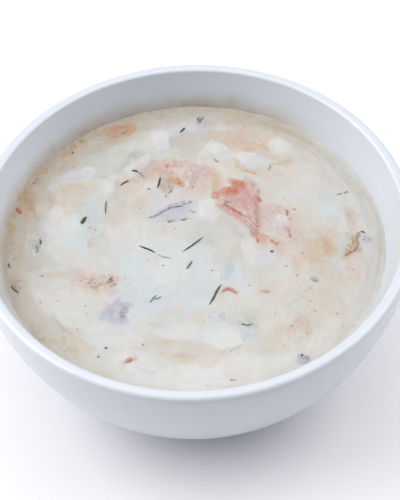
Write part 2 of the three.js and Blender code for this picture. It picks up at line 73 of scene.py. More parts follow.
def island_edge(turn):
    """How far out the thick cream reaches at each turn."""
    scallop = np.sin(ISLAND_SCALLOPS * turn + ISLAND_PHASE)
    return ISLAND_RADIUS + ISLAND_SHIFT * np.cos(turn) + ISLAND_SCALLOP * scallop


# ---- Noise and small helpers ----


def smooth(value, low, high):
    """0 below low, 1 above high, and an even ease between."""
    share = np.clip((value - low) / (high - low), 0.0, 1.0)
    return share * share * (3.0 - 2.0 * share)


NOISE_ORDER = np.random.default_rng(NOISE_SEED).permutation(256)
NOISE_TURN = np.random.default_rng(TURN_SEED).uniform(0.0, 2.0 * math.pi, 256)


def noise(x, y):
    """Gradient noise in the plane, about -1 to 1, one bump per unit."""
    cell_x, cell_y = np.floor(x).astype(int), np.floor(y).astype(int)
    part_x, part_y = x - cell_x, y - cell_y

    def corner(step_x, step_y):
        turn = NOISE_TURN[(NOISE_ORDER[(cell_x + step_x) & 255] + cell_y + step_y) & 255]
        return np.cos(turn) * (part_x - step_x) + np.sin(turn) * (part_y - step_y)

    ease_x, ease_y = (part ** 3 * (part * (part * 6.0 - 15.0) + 10.0) for part in (part_x, part_y))
    near = corner(0, 0) * (1.0 - ease_x) + corner(1, 0) * ease_x
    far = corner(0, 1) * (1.0 - ease_x) + corner(1, 1) * ease_x
    return 1.6 * (near * (1.0 - ease_y) + far * ease_y)


def cloud(x, y, size, octaves, shift=0.0):
    """Noise of the given size in mm with finer noise on it."""
    total = 0.0
    for octave in range(octaves):
        scale = 2.0 ** octave / size
        total = total + 0.5 ** octave * noise(x * scale + shift + 17.3 * octave, y * scale - shift + 5.1 * octave)
    return total


CELL_JITTER = np.random.default_rng(CELL_SEED).uniform(0.0, 1.0, (256, 4))


def patchwork(x, y, size, soft, shift):
    """Patches of the given size in mm, each with two values of its own from 0 to 1, soft at their edges."""
    x, y = x / size + shift, y / size - shift
    cell_x, cell_y = np.floor(x).astype(int), np.floor(y).astype(int)
    near, second = np.full(np.shape(x), 9.0), np.full(np.shape(x), 9.0)
    owner, neighbour = np.zeros(np.shape(x), int), np.zeros(np.shape(x), int)
    for step_x in (-1, 0, 1):
        for step_y in (-1, 0, 1):
            at = NOISE_ORDER[(NOISE_ORDER[(cell_x + step_x) & 255] + cell_y + step_y) & 255]
            away = np.hypot(cell_x + step_x + CELL_JITTER[at, 0] - x, cell_y + step_y + CELL_JITTER[at, 1] - y)
            nearer, later = away < near, (away >= near) & (away < second)
            neighbour = np.where(nearer, owner, np.where(later, at, neighbour))
            second = np.where(nearer, near, np.where(later, away, second))
            owner, near = np.where(nearer, at, owner), np.where(nearer, away, near)
    weight = 0.5 + 0.5 * smooth(second - near, 0.0, soft / size)
    return [CELL_JITTER[owner, k] * weight + CELL_JITTER[neighbour, k] * (1.0 - weight) for k in (2, 3)]


SWIRL_TWIST, CREAM_PATCH = 0.022, 4.6


def swirled(x, y):
    """The points turned about the middle, more with distance, as by a spoon."""
    turn = SWIRL_TWIST * np.hypot(x, y)
    return x * np.cos(turn) - y * np.sin(turn), x * np.sin(turn) + y * np.cos(turn)


# ---- Where the colours of the sauce lie ----
# Each tint is a share from 0 to 1 at every point, and a later one of TINTS covers those before it. All in mm.
TINTS = ("grey_and_shade", "cool", "sage", "olive", "peach", "orange", "pink", "flesh", "white", "lilac", "violet",
         "oil", "ochre", "red", "tomato", "deep", "dark")

# The ovals of each tint: x, y, half length, half width, strength, and a turn in degrees where there is one.
SPOTS = {
    # The ovals of this tint are partly a darker cream and partly painted shade: broad and strong at the back and by
    # the left wall, where the wall shades the sauce.
    "grey_and_shade": ((6, 50, 3.6, 2.6, 0.8), (1, 43.5, 8.5, 6, 0.85, 40), (-17, 37.6, 3.4, 2.2, 0.9, 20),
        (-27, 34, 11, 5, 0.95, 16), (-13, 32, 5, 4.4, 0.85), (-8.6, 25, 2, 1.7, 0.9), (-7.6, 22.4, 2, 2.4, 0.8, 30),
        (-27, 17, 9, 8, 0.35), (-8, 17, 9, 5, 0.3), (-12, 12, 8, 8, 0.25), (-46.5, 10, 3.8, 9, 0.6, 6),
        (23.6, 10, 0.7, 1.5, 0.5), (28.7, 9.2, 0.8, 1.2, 0.5), (4, 6, 15, 13, 0.35), (-28.8, 5.5, 2.2, 4, 0.5),
        (-12, 3, 5, 4, 0.35), (1.5, 2.6, 5, 4, 0.5), (3, 2, 2.4, 2.2, 0.8), (-47, -2, 3.4, 5, 0.4),
        (43.2, -4.6, 1.5, 8, 0.5, -8), (20, -6, 5, 6, 0.35), (-37, -9, 5, 2, 0.3), (6, -18, 3, 3.6, 0.3)),
    "cool": ((-8, 49.4, 6, 3, 0.8), (-34, 22, 8, 3.6, 0.45), (-12, 21, 3, 3, 0.6), (-29.6, 15, 3.2, 3.6, 0.8, 20),
        (41, 11, 3.4, 6.4, 0.9, 8), (-31, 10, 5, 5, 0.6), (43, 9, 2.6, 5, 1), (-35.6, 6.4, 5, 6.6, 0.9, 20),
        (-46.5, 3, 2.2, 4.6, 0.5, 10), (-12, 1, 6, 5, 0.5), (-27, -1, 7, 4, 0.4), (43.6, -3.6, 2, 9, 0.6, -8),
        (-3, -4, 7.6, 6.4, 0.9, -20), (-32, -9, 9, 1.6, 0.4, -2), (-42, -10, 6, 4, 0.5), (17, -10, 6, 6, 0.5),
        (10, -11, 5, 5, 0.9), (-16, -15, 8, 12, 1, 10), (-4, -15, 6, 9, 0.7, 10), (14, -16, 3.4, 3, 0.8),
        (2, -17.5, 5, 6, 0.9), (-3, -32, 8, 3, 0.5), (9, -32, 7.6, 6.6, 0.6, -20), (-29, -34, 8, 4, 0.5, -40),
        (2, -38, 6, 3, 0.4), (-12, -50, 12, 3, 0.6, -8)),
    "sage": ((2.6, 50.6, 2.6, 2, 0.6), (-24, 41.5, 12, 4.4, 0.6, 22), (-12, 38, 5, 4, 0.5),
        (-27, 36, 10, 5, 0.9, 20), (30, 22, 5, 5, 0.25), (38, 16.5, 5, 4.6, 0.5), (-29.6, 15.4, 2.6, 3, 0.7, 20),
        (2, 2, 2.4, 2.4, 0.6), (-47, 1.5, 1.8, 3.6, 0.6, 10), (8.4, -8.4, 2.4, 6.2, 1, 14),
        (40.4, -8.8, 1.8, 1.4, 0.8), (3.4, -17, 4, 5, 0.5, -20), (4.4, -19.6, 2.6, 3.4, 0.8, -20),
        (-12, -20, 3, 2.4, 0.35), (14.6, -29.2, 3, 1, 0.7, -10), (15.2, -33.6, 2.6, 2, 0.45)),
    "olive": ((16, 53.2, 5.5, 2, 0.8, -16), (0, 41, 5, 4, 0.45), (38, 40.6, 4.8, 2.2, 0.6, -46),
        (-22, 38.4, 4.4, 1.7, 0.7, 16), (-30, 34.4, 8, 4, 0.35, 22), (28.6, 33.4, 3.2, 1.6, 0.5, -15),
        (45, 33, 5, 1.8, 0.3, -56), (18, 30.5, 9, 4, 0.5, -20), (6.6, 28.4, 2.6, 2.2, 0.4),
        (-18, 27.6, 3, 1.5, 0.7, 10), (25, 24, 6, 5, 0.4), (36, 6, 7, 5, 0.4), (43, -2, 6, 6, 0.55),
        (35, -9, 6, 5, 0.5), (40, -16, 7, 5, 0.5, -60), (33, -22, 8, 8, 0.3), (38, -26, 9, 5, 0.35, 50),
        (16, -27, 6, 3.4, 0.4), (31, -28, 4, 4, 0.4, 20), (-45, -30.5, 6, 2.4, 0.6, -50), (26, -33, 5, 5, 0.4),
        (41, -35.5, 8, 3.2, 0.45, 40), (-37, -36, 5, 3, 0.4, -36), (25, -37, 10, 6, 0.35, 30),
        (20, -40.5, 3, 2, 0.5), (-28, -45.5, 5, 2, 0.45, -28)),
    "peach": ((16.5, 42.8, 10.5, 5.6, 0.8, -18), (36, 36, 5, 7, 0.35, 40), (2, 35.5, 3.2, 2, 0.4, -10),
        (28, 33.8, 4.4, 2.4, 0.5, -20), (11, 31.5, 4, 2, 0.3, -20), (22, 31, 6, 4, 0.4, -20),
        (-5, 29.4, 8.4, 5.4, 0.6), (43, 27, 3, 8, 0.3, 30), (7, 26, 3, 4.8, 0.85, 10), (-38, 22, 9, 4.6, 0.5, 12),
        (-46, 20, 4, 6, 0.6, 16), (-14, 20, 5, 4, 0.35), (22, 17, 3, 5, 0.35), (-37.6, 14.2, 1.4, 1.2, 0.7),
        (21.6, 10, 4, 8, 0.6, 14), (47.6, 8.6, 1.8, 6.4, 0.9, 4), (30, 8, 3.4, 8, 0.55, 6), (36, 3.6, 5, 2, 0.5),
        (26, -1, 5, 4, 0.4), (36, -3.5, 6.4, 5.4, 0.95, 60), (33, -6, 5, 3.6, 0.8), (31.5, -8.5, 3.4, 2.4, 0.6, 20),
        (-33, -9, 8, 1.6, 0.3, -4), (36, -11, 6, 4, 0.45), (48.5, -11, 4.4, 8, 0.4, -12), (-28, -13, 6, 4, 0.6),
        (-25, -15.6, 3.4, 2.2, 0.6), (38, -24, 6, 6, 0.35, -50), (29.6, -30, 4, 4.6, 0.5, 20),
        (26.5, -34, 5, 5, 0.5), (-36, -34.5, 7.6, 4.4, 0.45, -36), (-16.5, -36.5, 2.6, 2.4, 0.35),
        (-3, -39.5, 8.4, 3, 0.3, -8)),
    "orange": ((-22.5, 47.4, 5.4, 3.2, 0.9, 15), (29, 46.6, 4.6, 2, 0.3, -32), (16, 41.5, 3.6, 2.4, 0.2, -10),
        (22.6, 38.6, 2.6, 1.8, 0.3, -50), (-8, 27.6, 3.4, 4.2, 0.5), (7.4, 26, 1.6, 3.4, 0.35, 10),
        (12.6, 25.2, 2.2, 1.1, 0.8, -10), (-50.6, 18, 2.6, 7, 0.7, 16), (8.2, 17.8, 2, 2.4, 0.65, -30),
        (26, 14.4, 1.2, 0.9, 0.55), (47.6, 7.4, 1.1, 5, 0.3, 2), (48.2, 3.4, 1.2, 2.4, 0.5),
        (18.8, 2.6, 0.8, 2.2, 0.8, 8), (20.4, 2, 2, 2.6, 0.5), (24.4, -1.2, 1.4, 1.3, 0.5, -50),
        (39.3, -1.6, 1.2, 4.6, 0.35, -6), (26, -2, 2.4, 2.4, 0.35), (-28, -14.4, 3.6, 1.6, 0.3, -10),
        (20.6, -18.2, 2, 0.9, 0.6, -15), (-5, -40.4, 2.4, 1.5, 0.3), (4, -51, 4.4, 0.8, 0.5, -4)),
    "pink": ((-3, 31, 9.6, 3.6, 0.7, -12), (-14, 28.4, 2.2, 2.6, 0.7, 40), (-13, 28, 3.8, 2.2, 0.6, 30),
        (-18.5, 25.6, 3.6, 3.8, 0.5), (0.5, 25.5, 4.6, 4.4, 0.8), (0, 23, 5, 3.4, 0.5), (17.4, 21.6, 1.4, 2.4, 0.6),
        (-41, 21, 6, 3.6, 0.25, 30), (24.6, 14, 1.6, 2, 0.6), (21.8, 12.4, 2.6, 4.6, 0.45, 10),
        (27, 8, 4.4, 7.6, 0.4, 24), (21, 5, 3, 4, 0.7), (22.6, 1.2, 2.8, 1.8, 0.75, -50), (30, 0, 4, 4, 0.5),
        (26, -2, 3, 3, 0.6), (-35, -8.6, 10, 1.6, 0.15, 4), (48, -9, 3.2, 5.5, 0.25, -12),
        (-29, -12.6, 7, 4, 0.55, -8)),
    "flesh": ((17.6, 24.9, 2.6, 1.3, 0.7, -50), (11, 18.4, 3.6, 2.6, 0.7, -30), (15.4, 16.2, 7, 4.8, 0.95, -52),
        (18.6, 12, 2.4, 5, 0.6, 12)),
    "white": ((-9.6, 44.5, 2.6, 6.2, 1, 8), (7.2, 39.6, 3.4, 2.3, 1, -12), (27, 39.4, 3.8, 3, 0.85, -20),
        (43, 35, 10, 3, 0.4, -50), (-14.5, 34, 2.4, 1.4, 0.4, 50), (18.6, 33.6, 6.2, 2.6, 0.7, -26),
        (-31.5, 31.2, 2.4, 1.6, 1), (-0.2, 29.2, 1, 0.9, 0.6), (-25, 24, 2.2, 3, 1, -10), (4.4, 14, 3, 5.2, 0.9),
        (-39.5, 10, 6, 8, 0.4, 14), (26.2, 9.8, 1.8, 1.5, 0.7), (-20, 6, 6, 5, 0.3, 20), (-12, 1, 6, 4, 0.45),
        (54.6, 0, 1.6, 12, 0.8), (16.2, -3, 2.2, 5.4, 0.7, 8), (-8, -9, 5, 5, 0.5), (-39, -20, 9.6, 8.4, 0.3, -50),
        (-4, -32, 7, 2.6, 0.6), (-24.5, -32.5, 8, 4, 0.4, -28), (7, -34.6, 6.4, 3.8, 0.8, -14),
        (40, -38, 10, 3, 0.5, 44), (-18, -42, 8, 3.6, 0.7, -14), (12, -44, 9, 3, 0.5, 6),
        (19, -45, 9, 3.6, 0.35, 18), (-5, -47.5, 12, 3.6, 0.7, 2), (4, -52, 14, 2.6, 0.8, 2)),
    "lilac": ((-10, 50, 4.4, 2.2, 0.8, -10), (0.5, 49, 4, 3, 0.6), (-9, 40.5, 2.4, 3.2, 0.5, 8),
        (19.8, 33, 5.6, 2.6, 0.6, -26), (-35.5, 30, 6.4, 2.6, 0.9, 4), (1.6, 27, 3, 1.8, 0.3, -50),
        (-10, 17, 4, 3.4, 0.5), (17.2, 16.2, 1.2, 0.9, 0.25, -50), (-8.6, 15.8, 4.6, 1.9, 0.9, 24),
        (-1.6, 13, 3.6, 3.4, 0.6), (-5, 10.6, 5.2, 2, 0.5, 4), (24.2, 8, 2.4, 2.2, 0.5), (51, -0.6, 2, 2.8, 0.7),
        (21.4, -5, 3.4, 3.4, 0.7), (-24, -18, 4.4, 2.6, 0.6), (6.5, -26.6, 4.6, 1.5, 0.55, -14),
        (-22, -28, 5, 4, 0.7)),
    "violet": ((5, 49.6, 2.6, 1.6, 0.3), (-8.7, 27.3, 1.1, 1.1, 0.65), (-7.6, 15.4, 4, 1.1, 0.4, 26),
        (-6.8, 12.4, 6, 2.4, 0.4, 18), (27.4, 5.6, 0.9, 1, 0.35), (46.6, 1, 1.4, 2.8, 0.35),
        (44.5, -3.1, 0.8, 1.6, 0.45, -20), (10, -8, 1.5, 4.4, 0.3, 4), (9.4, -12.6, 2, 2.4, 0.15),
        (-23.2, -24, 3.8, 4.6, 0.75, -30), (29.4, -43.2, 2, 1.8, 0.75)),
    "oil": ((-23.5, 47.2, 7, 3.6, 0.6, 20), (-34, 35.6, 4, 2.2, 0.35, 25), (-44, 33.5, 9, 3.2, 0.5, 52),
        (-7.5, 28.2, 3, 2.4, 0.5), (-7, 26, 3.4, 4.4, 0.45), (-45, 22, 3, 5, 0.45, 20), (-47.5, 8, 2.6, 6, 0.4, 4),
        (-52.5, 2, 16, 2.8, 0.5, 86)),
    "ochre": ((-18.8, 49, 1.8, 1.8, 0.6), (-22.4, 47.8, 5.4, 3.2, 0.3, 15), (24, 35.2, 3, 1.4, 0.2, -30),
        (15, 32.6, 2.4, 1.4, 0.25, -30), (-18.4, 26.9, 1.8, 1.2, 0.35, 20), (-4.2, 25.5, 2.8, 1.4, 0.9, -32),
        (7.6, 24.4, 1.8, 2.4, 0.3, 10), (-50.6, 21.4, 2.6, 6.4, 0.62, 20), (6.9, 20.7, 1.2, 2.2, 0.7, -20),
        (-0.2, 13.7, 1.2, 0.45, 0.75, -35), (18.3, 4.2, 0.6, 0.8, 0.5, 20), (38.2, -2.2, 2.6, 4, 0.3, 10),
        (48.2, -4, 1, 1, 0.7), (-29.4, -13.4, 2, 2, 0.25), (-24.4, -13.4, 1.2, 1, 0.4),
        (29.4, -29.6, 2.2, 3.2, 0.25)),
    "red": ((-22.4, 47.6, 4.4, 2.8, 0.3, 15), (-4.8, 33.2, 0.8, 1.4, 0.5, 10), (-7.4, 32.4, 0.9, 1.3, 0.5, -20),
        (-9.5, 31, 3, 2, 0.2, 30), (1.6, 28, 4.4, 3.2, 0.16, -40), (-3.2, 25, 2.2, 1.5, 0.45, -30),
        (18.2, 24, 1.5, 0.6, 0.5, -55), (12.4, 21.8, 5.2, 3.2, 0.62, -14), (9.4, 21, 3, 2.2, 0.7, 20),
        (9, 18.6, 2.6, 1.8, 0.35, -40), (15.6, 18.4, 5.4, 4, 0.4, -42), (19.8, 16.4, 1.1, 0.9, 0.4),
        (17, 13.6, 2.6, 5, 0.3, 20), (11.6, 12.6, 5, 1, 0.3, -40), (27.9, 5.2, 0.7, 1.3, 0.4, 20),
        (18.2, 3.9, 1.5, 1.5, 0.6, 20), (28.6, 3.4, 0.8, 1.1, 0.35), (20.4, 2.4, 1.5, 2.2, 0.3),
        (23.6, 0.2, 1.9, 0.7, 0.45, -55), (-24.6, -16.2, 2.6, 1.4, 0.12)),
    "tomato": ((13.8, 23.8, 2.4, 1.7, 0.85, -35), (11.8, 21.8, 1.8, 2.2, 0.75, -10), (6.4, 19, 1, 0.7, 0.7, -20),
        (20, 17.8, 0.75, 1.7, 0.8, 32)),
    "deep": ((-4.4, 32.4, 0.3, 0.9, 0.5, 10), (-7.2, 32, 0.35, 0.9, 0.6, -20), (-3.9, 25, 0.5, 0.4, 0.6),
        (14.8, 23.7, 0.9, 0.9, 0.45, -30), (11.2, 22.4, 1.3, 0.7, 0.4, 20), (12.4, 21, 0.8, 1.3, 0.6, -15),
        (10.8, 19.8, 1, 0.6, 0.3), (20.5, 17.6, 0.35, 1.2, 0.75, 32), (28, 12, 0.28, 1.1, 0.6, -6),
        (18.9, 1.1, 0.45, 0.8, 0.75)),
    # The first two ovals, faint and broad at the back, are painted shade.
    "dark": ((-17, 37.6, 3, 2, 0.08, 20), (-12, 33, 3, 2, 0.06), (-8.6, 25, 0.6, 0.4, 0.45, -20),
        (0.2, 23.3, 0.4, 0.4, 0.4), (30.4, 13, 0.8, 0.4, 0.5, -40), (28.1, 11.8, 0.25, 0.9, 0.5, -6),
        (28.8, 9.4, 0.5, 0.7, 0.35, 30), (28.5, 2.7, 0.4, 0.8, 0.6), (50.5, 0.2, 0.7, 0.35, 0.45, 30),
        (51.1, -0.6, 0.3, 0.6, 0.35)),
}

# Ovals where a tint lies in small blots: x, y, half length, half width, strength, size of the blots, turn.
BLOTS = {
    "grey_and_shade": ((44, 0.4, 1.8, 3.4, 0.6, 1.6),),
    "sage": ((14, -30, 4, 3, 0.5, 1.2),),
    "orange": ((9, 45, 8, 3, 0.2, 2, -10), (20.6, 39.6, 6.4, 4, 0.3, 2.6, -20), (-9.6, 29.4, 4.4, 3.4, 0.5, 1.8),
        (-27.6, -13.4, 4.4, 2.4, 0.3, 1.8, -8)),
    "flesh": ((-3, 31, 9.4, 4, 0.6, 2.6, -12), (-13.4, 27.6, 4.4, 2.6, 0.5, 2, 30),
        (26.6, 8.6, 4.6, 8.4, 0.65, 2.8, 24), (-30.6, -12, 6.4, 3.4, 0.4, 3, -8)),
    "white": ((-1, 27.4, 7, 5.4, 0.3, 1.8), (18, 4.6, 2, 2.2, 0.35, 1.1)),
    "violet": ((-6.8, 13.4, 7, 2.4, 0.5, 1.5, 22), (50.8, 0.2, 1.8, 2.6, 0.6, 1.2),
        (8, -28, 5, 2.6, 0.45, 1.6, -20), (15, -29.6, 3.6, 2, 0.5, 1.3), (13.6, -34, 2.4, 2, 0.5, 1.2),
        (29.6, -43.4, 2.4, 1.9, 0.8, 1.4)),
    "ochre": ((-36, 42.4, 7.4, 2.2, 0.8, 2.4, 44), (-46.4, 31, 8, 2.2, 0.7, 3.6, 56),
        (-51.4, 22, 2, 7, 0.75, 3.4, 22), (-54.2, 8, 1.4, 12, 0.6, 3.6, 4), (46.2, -2.6, 2.2, 5, 0.95, 1.6, -24),
        (36, -4, 6, 5.4, 0.22, 3.4), (-53.4, -14, 1.6, 9, 0.45, 3.2, -14), (-46, -31, 8, 2, 0.45, 2.4, -56),
        (30, -31, 5.4, 6.4, 0.2, 3, 20), (-38, -36, 6, 3.4, 0.3, 1.8, -40)),
    "red": ((-6, 32.6, 4.4, 2.2, 0.25, 1.4, -10),),
    "tomato": ((12.8, 22.6, 4, 3.6, 0.6, 2.6, -20),),
    "deep": ((-22, 48.4, 4.4, 2, 0.25, 1.6, 20), (12.4, 22.2, 3.2, 3, 0.3, 1.2, -20), (28, 6, 2.2, 5, 0.2, 0.9, 10),
        (18.3, 3.8, 2, 2.6, 0.4, 0.9, 10), (46.6, -2.6, 1.2, 4.4, 0.4, 1, -24),
        (29.4, -31.4, 4.6, 5, 0.15, 0.7, 20)),
    "dark": ((-34.4, 43.4, 3, 1.2, 0.4, 0.9, 40), (16, 43, 6, 3, 0.15, 0.7, -18), (-7.8, 24, 3, 3.4, 0.2, 0.8, 20),
        (-50.8, 22, 1.4, 7, 0.2, 0.8, 22), (-4.8, 10.4, 4.4, 0.9, 0.35, 0.9, 4),
        (-46.4, 2.6, 1.8, 3.8, 0.35, 0.9, 8), (47.8, 0.2, 1.4, 2.8, 0.55, 0.9, -20),
        (-31, -11.4, 3.4, 1.6, 0.25, 0.8), (-25.2, -12, 1.4, 1, 0.7, 0.9), (-52.4, -14, 1.4, 6, 0.35, 0.8, -14),
        (-21, -24, 1.8, 2.4, 0.4, 0.8), (29.4, -42.6, 1.6, 1, 0.5, 0.8)),
}

# Lines of each tint: width, strength, points.
STREAKS = {
    "grey_and_shade": (
        (0.7, 0.5, ((50, -5.5), (50.5, -9.8), (50.2, -14.5), (49.6, -20))),
        # This line by the left wall is painted shade of the wall.
        (3.2, 0.6, ((-48.4, -6), (-48.8, 2), (-48.4, 10), (-46.5, 17))),
        # This line under the onion strip is painted shadow beneath it.
        (1.7, 0.6, ((-13.6, 11.4), (-10.3, 12.6), (-7.2, 14.4), (-3.4, 15.9), (-0.2, 16.6))),
    ),
    "sage": (
        (1.1, 0.35, ((-11, -2.6), (-9, -4.4), (-6.4, -4.6), (-4, -2.6))),
        (0.8, 0.5, ((7, 35), (7.6, 33.8), (8.6, 33))),
    ),
    "olive": (
        (1.4, 0.5, ((29, 45.8), (34, 43.2), (38.6, 38.4), (42.6, 32))),
        (1.2, 0.7, ((-55, -12), (-55.9, -5), (-56, 3), (-55.2, 11), (-53.6, 16.5))),
        (0.9, 0.9, ((13.2, 34.6), (13.6, 31.6), (15.2, 30.2), (17.2, 29), (19.6, 28))),
        (1.2, 0.25, ((54.6, 22), (55.8, 12), (56.2, 2), (55.4, -8))),
        (0.5, 0.6, ((40, 27.6), (41.2, 26), (42.8, 24.2))), (1.2, 0.4, ((33, -43.8), (39, -39.2), (45, -32))),
        (1.1, 0.5, ((-50.8, 26), (-48.6, 29.8), (-45.6, 33.6))),
    ),
    "orange": (
        (1.6, 0.6, ((7.2, 20), (8.4, 18.4), (10.4, 16.8))),
        (0.9, 0.6, ((13.6, 34.8), (14.6, 33.8), (13.6, 32.2), (14.2, 31))),
        (0.7, 0.8, ((15.6, 30), (17.4, 28.9), (19.4, 28))),
        (1.5, 0.5, ((44.2, -6.6), (46.4, -4.4), (47.8, -2.3), (47.8, 0.2), (48.6, 2.2))),
        (2, 0.5, ((-21.4, -42.4), (-19.4, -41.2), (-17.4, -41.2))),
        (1.4, 0.6, ((6.8, -17.8), (9.4, -16.6), (12, -18.3))),
    ),
    "pink": (
        (1, 0.7, ((9.6, 13.2), (12.4, 10.8), (15.6, 8), (17.6, 6))),
        (2.2, 0.6, ((20, 21.5), (19.4, 17), (19.1, 12), (19.3, 7))),
        (2.4, 0.4, ((-51.4, -10), (-52, 0), (-51.2, 10), (-49.2, 18))),
    ),
    "flesh": (
        (1.7, 0.85, ((8.6, 15.4), (11.5, 12.4), (14, 10), (16.6, 7.6), (18.4, 6.2))),
        (2.6, 0.5, ((-15, 29), (-12.4, 32.4), (-7, 34), (-2, 33.2), (3, 30.4), (6, 28.6))),
    ),
    "white": (
        (0.7, 0.9, ((28, 44.5), (32.8, 42.5), (37.2, 37.5), (41.2, 31.6), (45.2, 27.2), (49.2, 22), (52.6, 14.8))),
        (0.7, 0.9, ((52.6, 14.8), (54, 8.5), (54.3, 3.5), (53.8, -5.8), (52.2, -13.5), (50, -19.2))),
        (0.6, 0.5, ((50.8, -6), (51.2, -10), (50.9, -14.5), (50.2, -19))),
        (3.2, 0.5, ((42, 31), (47.6, 23), (50.8, 14.6), (52.2, 5))),
        (3.2, 0.5, ((52.4, -4), (51.2, -14), (48, -24), (43.5, -31))),
        (1.8, 0.6, ((-20, 31.5), (-17, 33.5), (-13.5, 36.5))),
    ),
    "lilac": (
        # This line along the onion strip is painted shadow around it.
        (2.2, 0.5, ((-13, 11.6), (-10.3, 12.2), (-7.2, 13.8), (-3.4, 15.2), (-0.6, 16))),
        (1.2, 0.8, ((43, 18), (44.6, 18.6), (46.8, 19.4))), (1.2, 0.5, ((7.6, -23.4), (11.6, -24.2), (16, -24))),
    ),
    "violet": (
        (0.6, 0.6, ((43.6, 18.2), (44.6, 18.5), (46.6, 19.2))),
    ),
    "ochre": (
        (0.7, 0.16, ((45.8, 27.8), (49.9, 22.4), (53.4, 14.9), (54.9, 8.5), (55.2, 3.5), (54.6, -5.8), (53, -13.5))),
        (0.5, 0.5, ((24, 31.6), (27.5, 31.8), (30.5, 33.4))), (0.6, 0.5, ((40.2, 0.8), (40.7, -0.6), (40.2, -2.4))),
    ),
    "red": (
        (0.8, 0.5, ((9, 15.7), (11.6, 13.6), (13.8, 12), (15.4, 10.8))),
        (0.5, 0.5, ((15.8, 9), (17.2, 7.6), (18, 6.6))),
        (1.1, 0.4, ((20, 21.5), (19.3, 17), (18.9, 12), (19.1, 7))),
        (1, 0.4, ((7.2, 20), (8.4, 18.4), (10.4, 16.8))), (0.9, 0.5, ((-21, -42.2), (-19.4, -41.2), (-17.8, -41))),
    ),
    "tomato": (
        (0.5, 0.75, ((10.6, 14.5), (12.4, 13.1), (14, 11.9))),
    ),
    "deep": (
        # These two lines follow the crease of the main tomato: its darker skin there, and painted shade in the fold.
        (0.42, 1, ((9.2, 16.1), (11, 14.9), (13.2, 13), (15.2, 11.1))),
        (0.36, 0.85, ((15.2, 11.1), (17, 9.6), (18.2, 8), (19, 6.6))),
        (0.45, 0.35, ((21.4, 3), (22.4, 2), (23.4, 0.4))),
    ),
    "dark": (
        # This line in the same crease is painted shade in the fold.
        (0.28, 0.35, ((10.2, 15.5), (13.2, 13), (14.6, 11.6))),
    ),
}


# Sheets of cream, crisp at one edge: tint, reach, strength, and the edge, with the sheet on its left.
SHEETS = (
    # This first sheet, by the left wall, is partly a darker cream and partly painted shade.
    ("grey_and_shade", 5, 0.45, ((-33, -7.5), (-37.5, -5.8), (-40.5, -4), (-42.5, -1), (-43.6, 2.5), (-44.8, 7), (-44.6, 12),
     (-43.8, 16), (-42, 18.2))),
    ("peach", 6, 0.45, ((-42.6, 18.6), (-40.2, 17.6), (-39.2, 15.5), (-38.2, 13.2))),
    ("peach", 7, 0.5, ((-25.6, 26.6), (-31, 27.4), (-34.5, 27.6), (-38.5, 27.2), (-43, 26.6))),
    ("peach", 3.6, 0.45, ((-47.8, -9), (-45, -10), (-41, -10.4), (-36.2, -10.6))),
    ("olive", 5, 0.5, ((-27, -38), (-30.5, -35), (-34, -31.8), (-36.4, -29.2))),
    ("peach", 5, 0.6, ((-36.4, -29.2), (-40.5, -27.2), (-43.5, -23.5), (-46.8, -19.5), (-48, -15), (-48.4, -9))),
    ("pink", 4, 0.4, ((-36.2, -10.6), (-36, -13), (-36.8, -17.5))),
    ("peach", 4, 0.6, ((-21.6, -14), (-25.5, -10.2), (-29, -8.6), (-32.5, -7.2), (-38, -5.6))),
    ("oil", 5, 0.4, ((-41, 32.4), (-36.5, 37.2), (-31, 40.2), (-26, 42.2), (-21, 44.8), (-17.8, 47))),
    ("peach", 6, 0.6, ((4, 41.6), (9, 41.2), (13.5, 39.6), (18, 37.2), (21.6, 34.4), (23.8, 31))),
    ("orange", 2.6, 0.3, ((9, 41.2), (13.5, 39.6), (18, 37.2), (21.6, 34.4))),
    ("olive", 4.6, 0.6, ((4, 47.4), (10, 48.8), (15, 48.8), (20, 47.6), (25, 45.8), (29, 43.8), (33, 41.6),
     (36, 40), (38.5, 38), (41, 34))),
    ("peach", 3.6, 0.4, ((53.9, 2), (53.6, 8.5), (52.3, 15), (49.4, 22), (45, 28))),
    ("peach", 6, 0.5, ((44, 5.6), (40.2, 6.2), (36.4, 7.6))),
    ("cool", 3, 0.5, ((42.6, 6), (41.6, -2), (40.6, -6.4), (38.4, -10.4))),
    ("peach", 5, 0.5, ((5.6, -38), (0.5, -35.6), (-4, -35), (-8.5, -34.2), (-14, -35.8))),
    ("peach", 4, 0.4, ((-14, -37.6), (-9.5, -41.8), (-4.5, -43.4), (2, -42.4))),
    ("peach", 4, 0.4, ((16, -36.6), (11.5, -39.4), (8.5, -39.6), (5.5, -38), (2, -34))),
    ("olive", 5, 0.35, ((13, -23), (14.6, -29), (16.8, -33), (15.5, -37.5))),
    ("grey_and_shade", 5, 0.4, ((15.4, -10), (14, -4.5), (14.2, 0.5), (16, 4))),
    ("lilac", 4, 0.6, ((2.2, 7.6), (1.6, 12.5), (1.8, 16), (2.8, 19))),
    ("pink", 4, 0.5, ((0.2, 19.6), (3.2, 18.8), (6.2, 18.2))),
    ("peach", 4, 0.4, ((-23.8, 27.8), (-22.7, 25), (-22.8, 22), (-24.6, 19.8))),
    ("grey_and_shade", 4, 0.7, ((-30.8, 10), (-31.5, 5.5), (-32, 0))),
    ("grey_and_shade", 4, 0.35, ((-21, 21), (-26, 20.6), (-29, 19.6))),
)


def oval(x, y, at_x, at_y, long, short, turn=0.0):
    """How far out each point lies in an oval, 1 at its edge."""
    c, s = math.cos(math.radians(turn)), math.sin(math.radians(turn))
    return np.hypot(((x - at_x) * c + (y - at_y) * s) / long, ((y - at_y) * c - (x - at_x) * s) / short)


